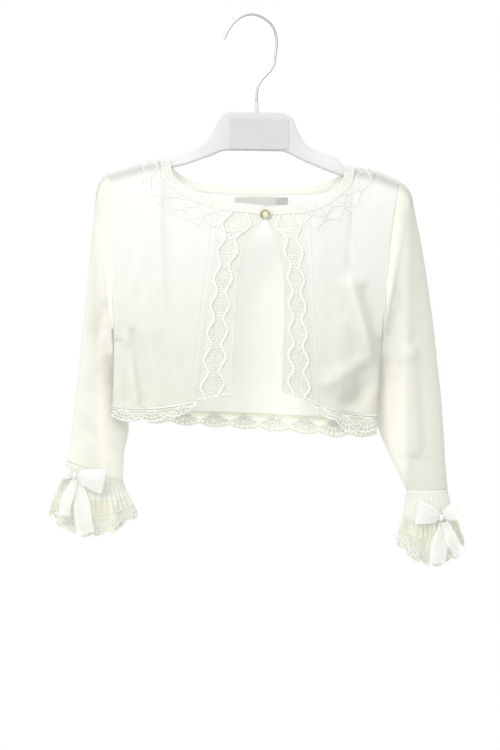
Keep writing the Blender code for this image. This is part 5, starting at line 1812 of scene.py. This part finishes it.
@operator("button", "Button and loop", "Make the pearl button and its loop")
def make_button():
    x, z = BUTTON_PLACE
    low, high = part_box("button")
    seat = high.y / MM
    rows = [(i,) + row for i, row in enumerate(BUTTON_PROFILE)]
    t = np.linspace(0, len(rows) - 1, 60)
    radius = smooth(rows, t, 1)
    turn = np.linspace(0, 2 * np.pi, 56, endpoint=False)[:, None]
    y = seat - smooth(rows, t, 2) + 0 * turn
    points = stack(x + radius * np.cos(turn), y, z + radius * np.sin(turn))
    round_face = np.linspace(0, 2 * np.pi, 57)[:, None] * 4
    flat = stack(round_face, radius[None, :]) * MM
    pile = Pile()
    pile.grid(points, flat, closed=True)
    face, rim = looks().fittings.pearl, looks().fittings.pearl_rim
    obj = pile.build("pearl_button", pearl_material("pearl", shade(face), shade(rim)))
    fit_piece(obj, "pearl", "button")

    loop = Pile()
    turn = np.linspace(0, 2 * np.pi, 90, endpoint=False)
    y = seat - 0.6 + 0 * turn
    path = stack(x + LOOP_RADIUS * np.cos(turn), y, z + LOOP_RADIUS * np.sin(turn))
    loop.cord(path, np.tile([0.0, -1.0, 0.0], (len(turn), 1)), 0.62, 1.9, sides=8, closed=True)
    cord = loop.build("button_loop_cord", yarn_material("lace yarn", shade(looks().cloth.yarn)))
    fit_piece(cord, "lace", "button_loop")


def flat_curve(name, outline, half_thick, rounding, y, material):
    """A flat piece cut to an outline, with rounded edges, standing in the hanger's plane."""
    curve = bpy.data.curves.new(name, "CURVE")
    curve.dimensions = "2D"
    curve.fill_mode = "BOTH"
    curve.extrude = (half_thick - rounding) * MM
    curve.bevel_depth = rounding * MM
    curve.bevel_resolution = 4
    curve.offset = -rounding * MM
    spline = curve.splines.new("POLY")
    spline.points.add(len(outline) - 1)
    for point, (x, z) in zip(spline.points, outline):
        point.co = (x * MM, z * MM, 0, 1)
    spline.use_cyclic_u = True
    obj = bpy.data.objects.new(name, curve)
    obj.rotation_euler = (math.radians(90), 0, 0)
    obj.location = (0, y * MM, 0)
    link(obj)
    bpy.context.view_layer.update()
    mesh = bpy.data.meshes.new_from_object(obj.evaluated_get(bpy.context.evaluated_depsgraph_get()))
    mesh.transform(obj.matrix_world)
    bpy.data.objects.remove(obj, do_unlink=True)
    mesh.materials.clear()
    mesh.materials.append(material)
    mesh.shade_smooth()
    mesh.set_sharp_from_angle(angle=math.radians(50))
    return link(bpy.data.objects.new(name, mesh))


def rounded(outline, radius=3.0, steps=4):
    """An outline with its corners cut to short arcs."""
    points = np.array(outline, float)
    out = []
    for k in range(len(points)):
        before, here, after = points[k - 1], points[k], points[(k + 1) % len(points)]
        a = here + unit(before - here) * min(radius, np.linalg.norm(before - here) / 2.2)
        b = here + unit(after - here) * min(radius, np.linalg.norm(after - here) / 2.2)
        for t in np.linspace(0, 1, steps):
            out.append(tuple((1 - t) ** 2 * a + 2 * t * (1 - t) * here + t * t * b))
    return out


@operator(
    "hanger", "Hanger and hook", "Make the frosted hanger with its raised field, its wire hook and collar"
)
def make_hanger():
    fittings = looks().fittings
    plastic = plastic_material("frosted plastic", shade(fittings.plastic))
    darker = plastic_material("frosted field", shade(fittings.plastic, 0.955))
    body = flat_curve("hanger_frosted", rounded(HANGER_PLATE), HANGER_HALF_THICK, HANGER_ROUND, 0.0, plastic)
    fit_piece(body, "frosted", "hanger_body")
    x0, x1, top, bottom = HANGER_PANEL
    field = rounded([(x0 + 2, top), (x1, top - 1.2), (x1 - 0.5, bottom), (x0 + 1.5, bottom + 0.8)], 2.5, 6)
    for number, face in ((1, FRONT), (2, BACK)):
        y = face * (HANGER_HALF_THICK - 0.1)
        fit_piece(flat_curve(f"hanger_field_{number}", field, 0.7, 0.45, y, darker), "frosted")

    curve = bpy.data.curves.new("hook_wire", "CURVE")
    curve.dimensions = "3D"
    curve.bevel_depth = HOOK_WIRE_RADIUS * MM
    curve.bevel_resolution = 5
    curve.resolution_u = 8
    curve.use_fill_caps = True
    spline = curve.splines.new("BEZIER")
    spline.bezier_points.add(len(HOOK_ROUTE) - 1)
    for point, (x, z) in zip(spline.bezier_points, HOOK_ROUTE):
        point.co = (x * MM, 0, z * MM)
        point.handle_left_type = point.handle_right_type = "AUTO"
    curve.materials.append(steel_material("hook wire", shade(fittings.steel)))
    fit_piece(link(bpy.data.objects.new("hook_wire", curve)), "steel", "hanger_hook")
    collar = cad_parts["hanger_collar"]
    collar.data.materials.clear()
    collar.data.materials.append(plastic)


# The stage

FLOOR_Z = -1.05
LIGHTS = (  # place, size, share of the key's power
    ((-0.8, -1.3, 1.2), 0.9, 0.85),
    ((0.5, -2.4, 0.1), 1.8, 0.25),
    ((0.0, 1.4, 0.9), 1.8, 0.9),
)


FLOOR_HALF = 1.15


@operator("stage", "Stage", "Make the camera, the pale floor and the soft lights")
def make_stage():
    stage = looks().stage
    scene = bpy.context.scene
    scene.view_settings.view_transform = "Standard"
    centre = np.array(stage.view_centre)
    camera = bpy.data.cameras.new("camera")
    camera.lens = camera.sensor_width / 2 / (stage.view_height / 2 / stage.distance)
    eye = link(bpy.data.objects.new("camera", camera))
    eye.location = centre - np.array([0.0, stage.distance, 0.0])
    eye.rotation_euler = (math.radians(90), 0, 0)
    scene.camera = eye

    mesh = bpy.data.meshes.new("floor")
    corners = [(x * FLOOR_HALF, y * FLOOR_HALF, FLOOR_Z) for x, y in ((-1, -1), (1, -1), (1, 1), (-1, 1))]
    mesh.from_pydata(corners, [], [(0, 1, 2, 3)])
    paint = Look("floor paint")
    paint.set(Base_Color=(*stage.floor, 1.0), Roughness=0.8)
    mesh.materials.append(paint.material)
    floor = link(bpy.data.objects.new("floor", mesh))

    world = bpy.data.worlds.new("white surround")
    world.use_nodes = True
    surround = world.node_tree.nodes["Background"]
    surround.inputs["Color"].default_value = (1.0, 1.0, 1.0, 1.0)
    surround.inputs["Strength"].default_value = stage.surround
    scene.world = world
    for number, (place, size, share) in enumerate(LIGHTS):
        light = bpy.data.lights.new(f"softbox {number}", "AREA")
        light.size = size
        light.energy = stage.key * share
        obj = link(bpy.data.objects.new(light.name, light))
        obj.location = np.array(place) + centre
        obj.rotation_euler = Vector(centre - obj.location).to_track_quat("-Z", "Y").to_euler()


class CARDIGAN_PT_panel(bpy.types.Panel):
    """Lists the cardigan's pieces and settings"""

    bl_idname = "CARDIGAN_PT_panel"
    bl_label = "Cardigan"
    bl_space_type = "VIEW_3D"
    bl_region_type = "UI"
    bl_category = "Cardigan"

    def draw(self, context):
        layout = self.layout
        for cls in OPERATORS:
            layout.operator(cls.bl_idname)
        for settings in (looks().cloth, looks().fittings, looks().stage):
            box = layout.box()
            for name in settings.__annotations__:
                box.prop(settings, name)


CLASSES = (KnitSettings, FittingSettings, StageSettings, CardiganLooks, *OPERATORS, CARDIGAN_PT_panel)


def register():
    for cls in CLASSES:
        bpy.utils.register_class(cls)
    bpy.types.Scene.cardigan_looks = bpy.props.PointerProperty(type=CardiganLooks)


def unregister():
    del bpy.types.Scene.cardigan_looks
    for cls in reversed(CLASSES):
        bpy.utils.unregister_class(cls)


def main():
    """Registers the classes, makes every piece and writes the size of the frame and of the looks."""
    register()
    for cls in OPERATORS:
        getattr(bpy.ops.cardigan, cls.bl_idname.split(".")[1])()


if __name__ == "__main__":
    main()
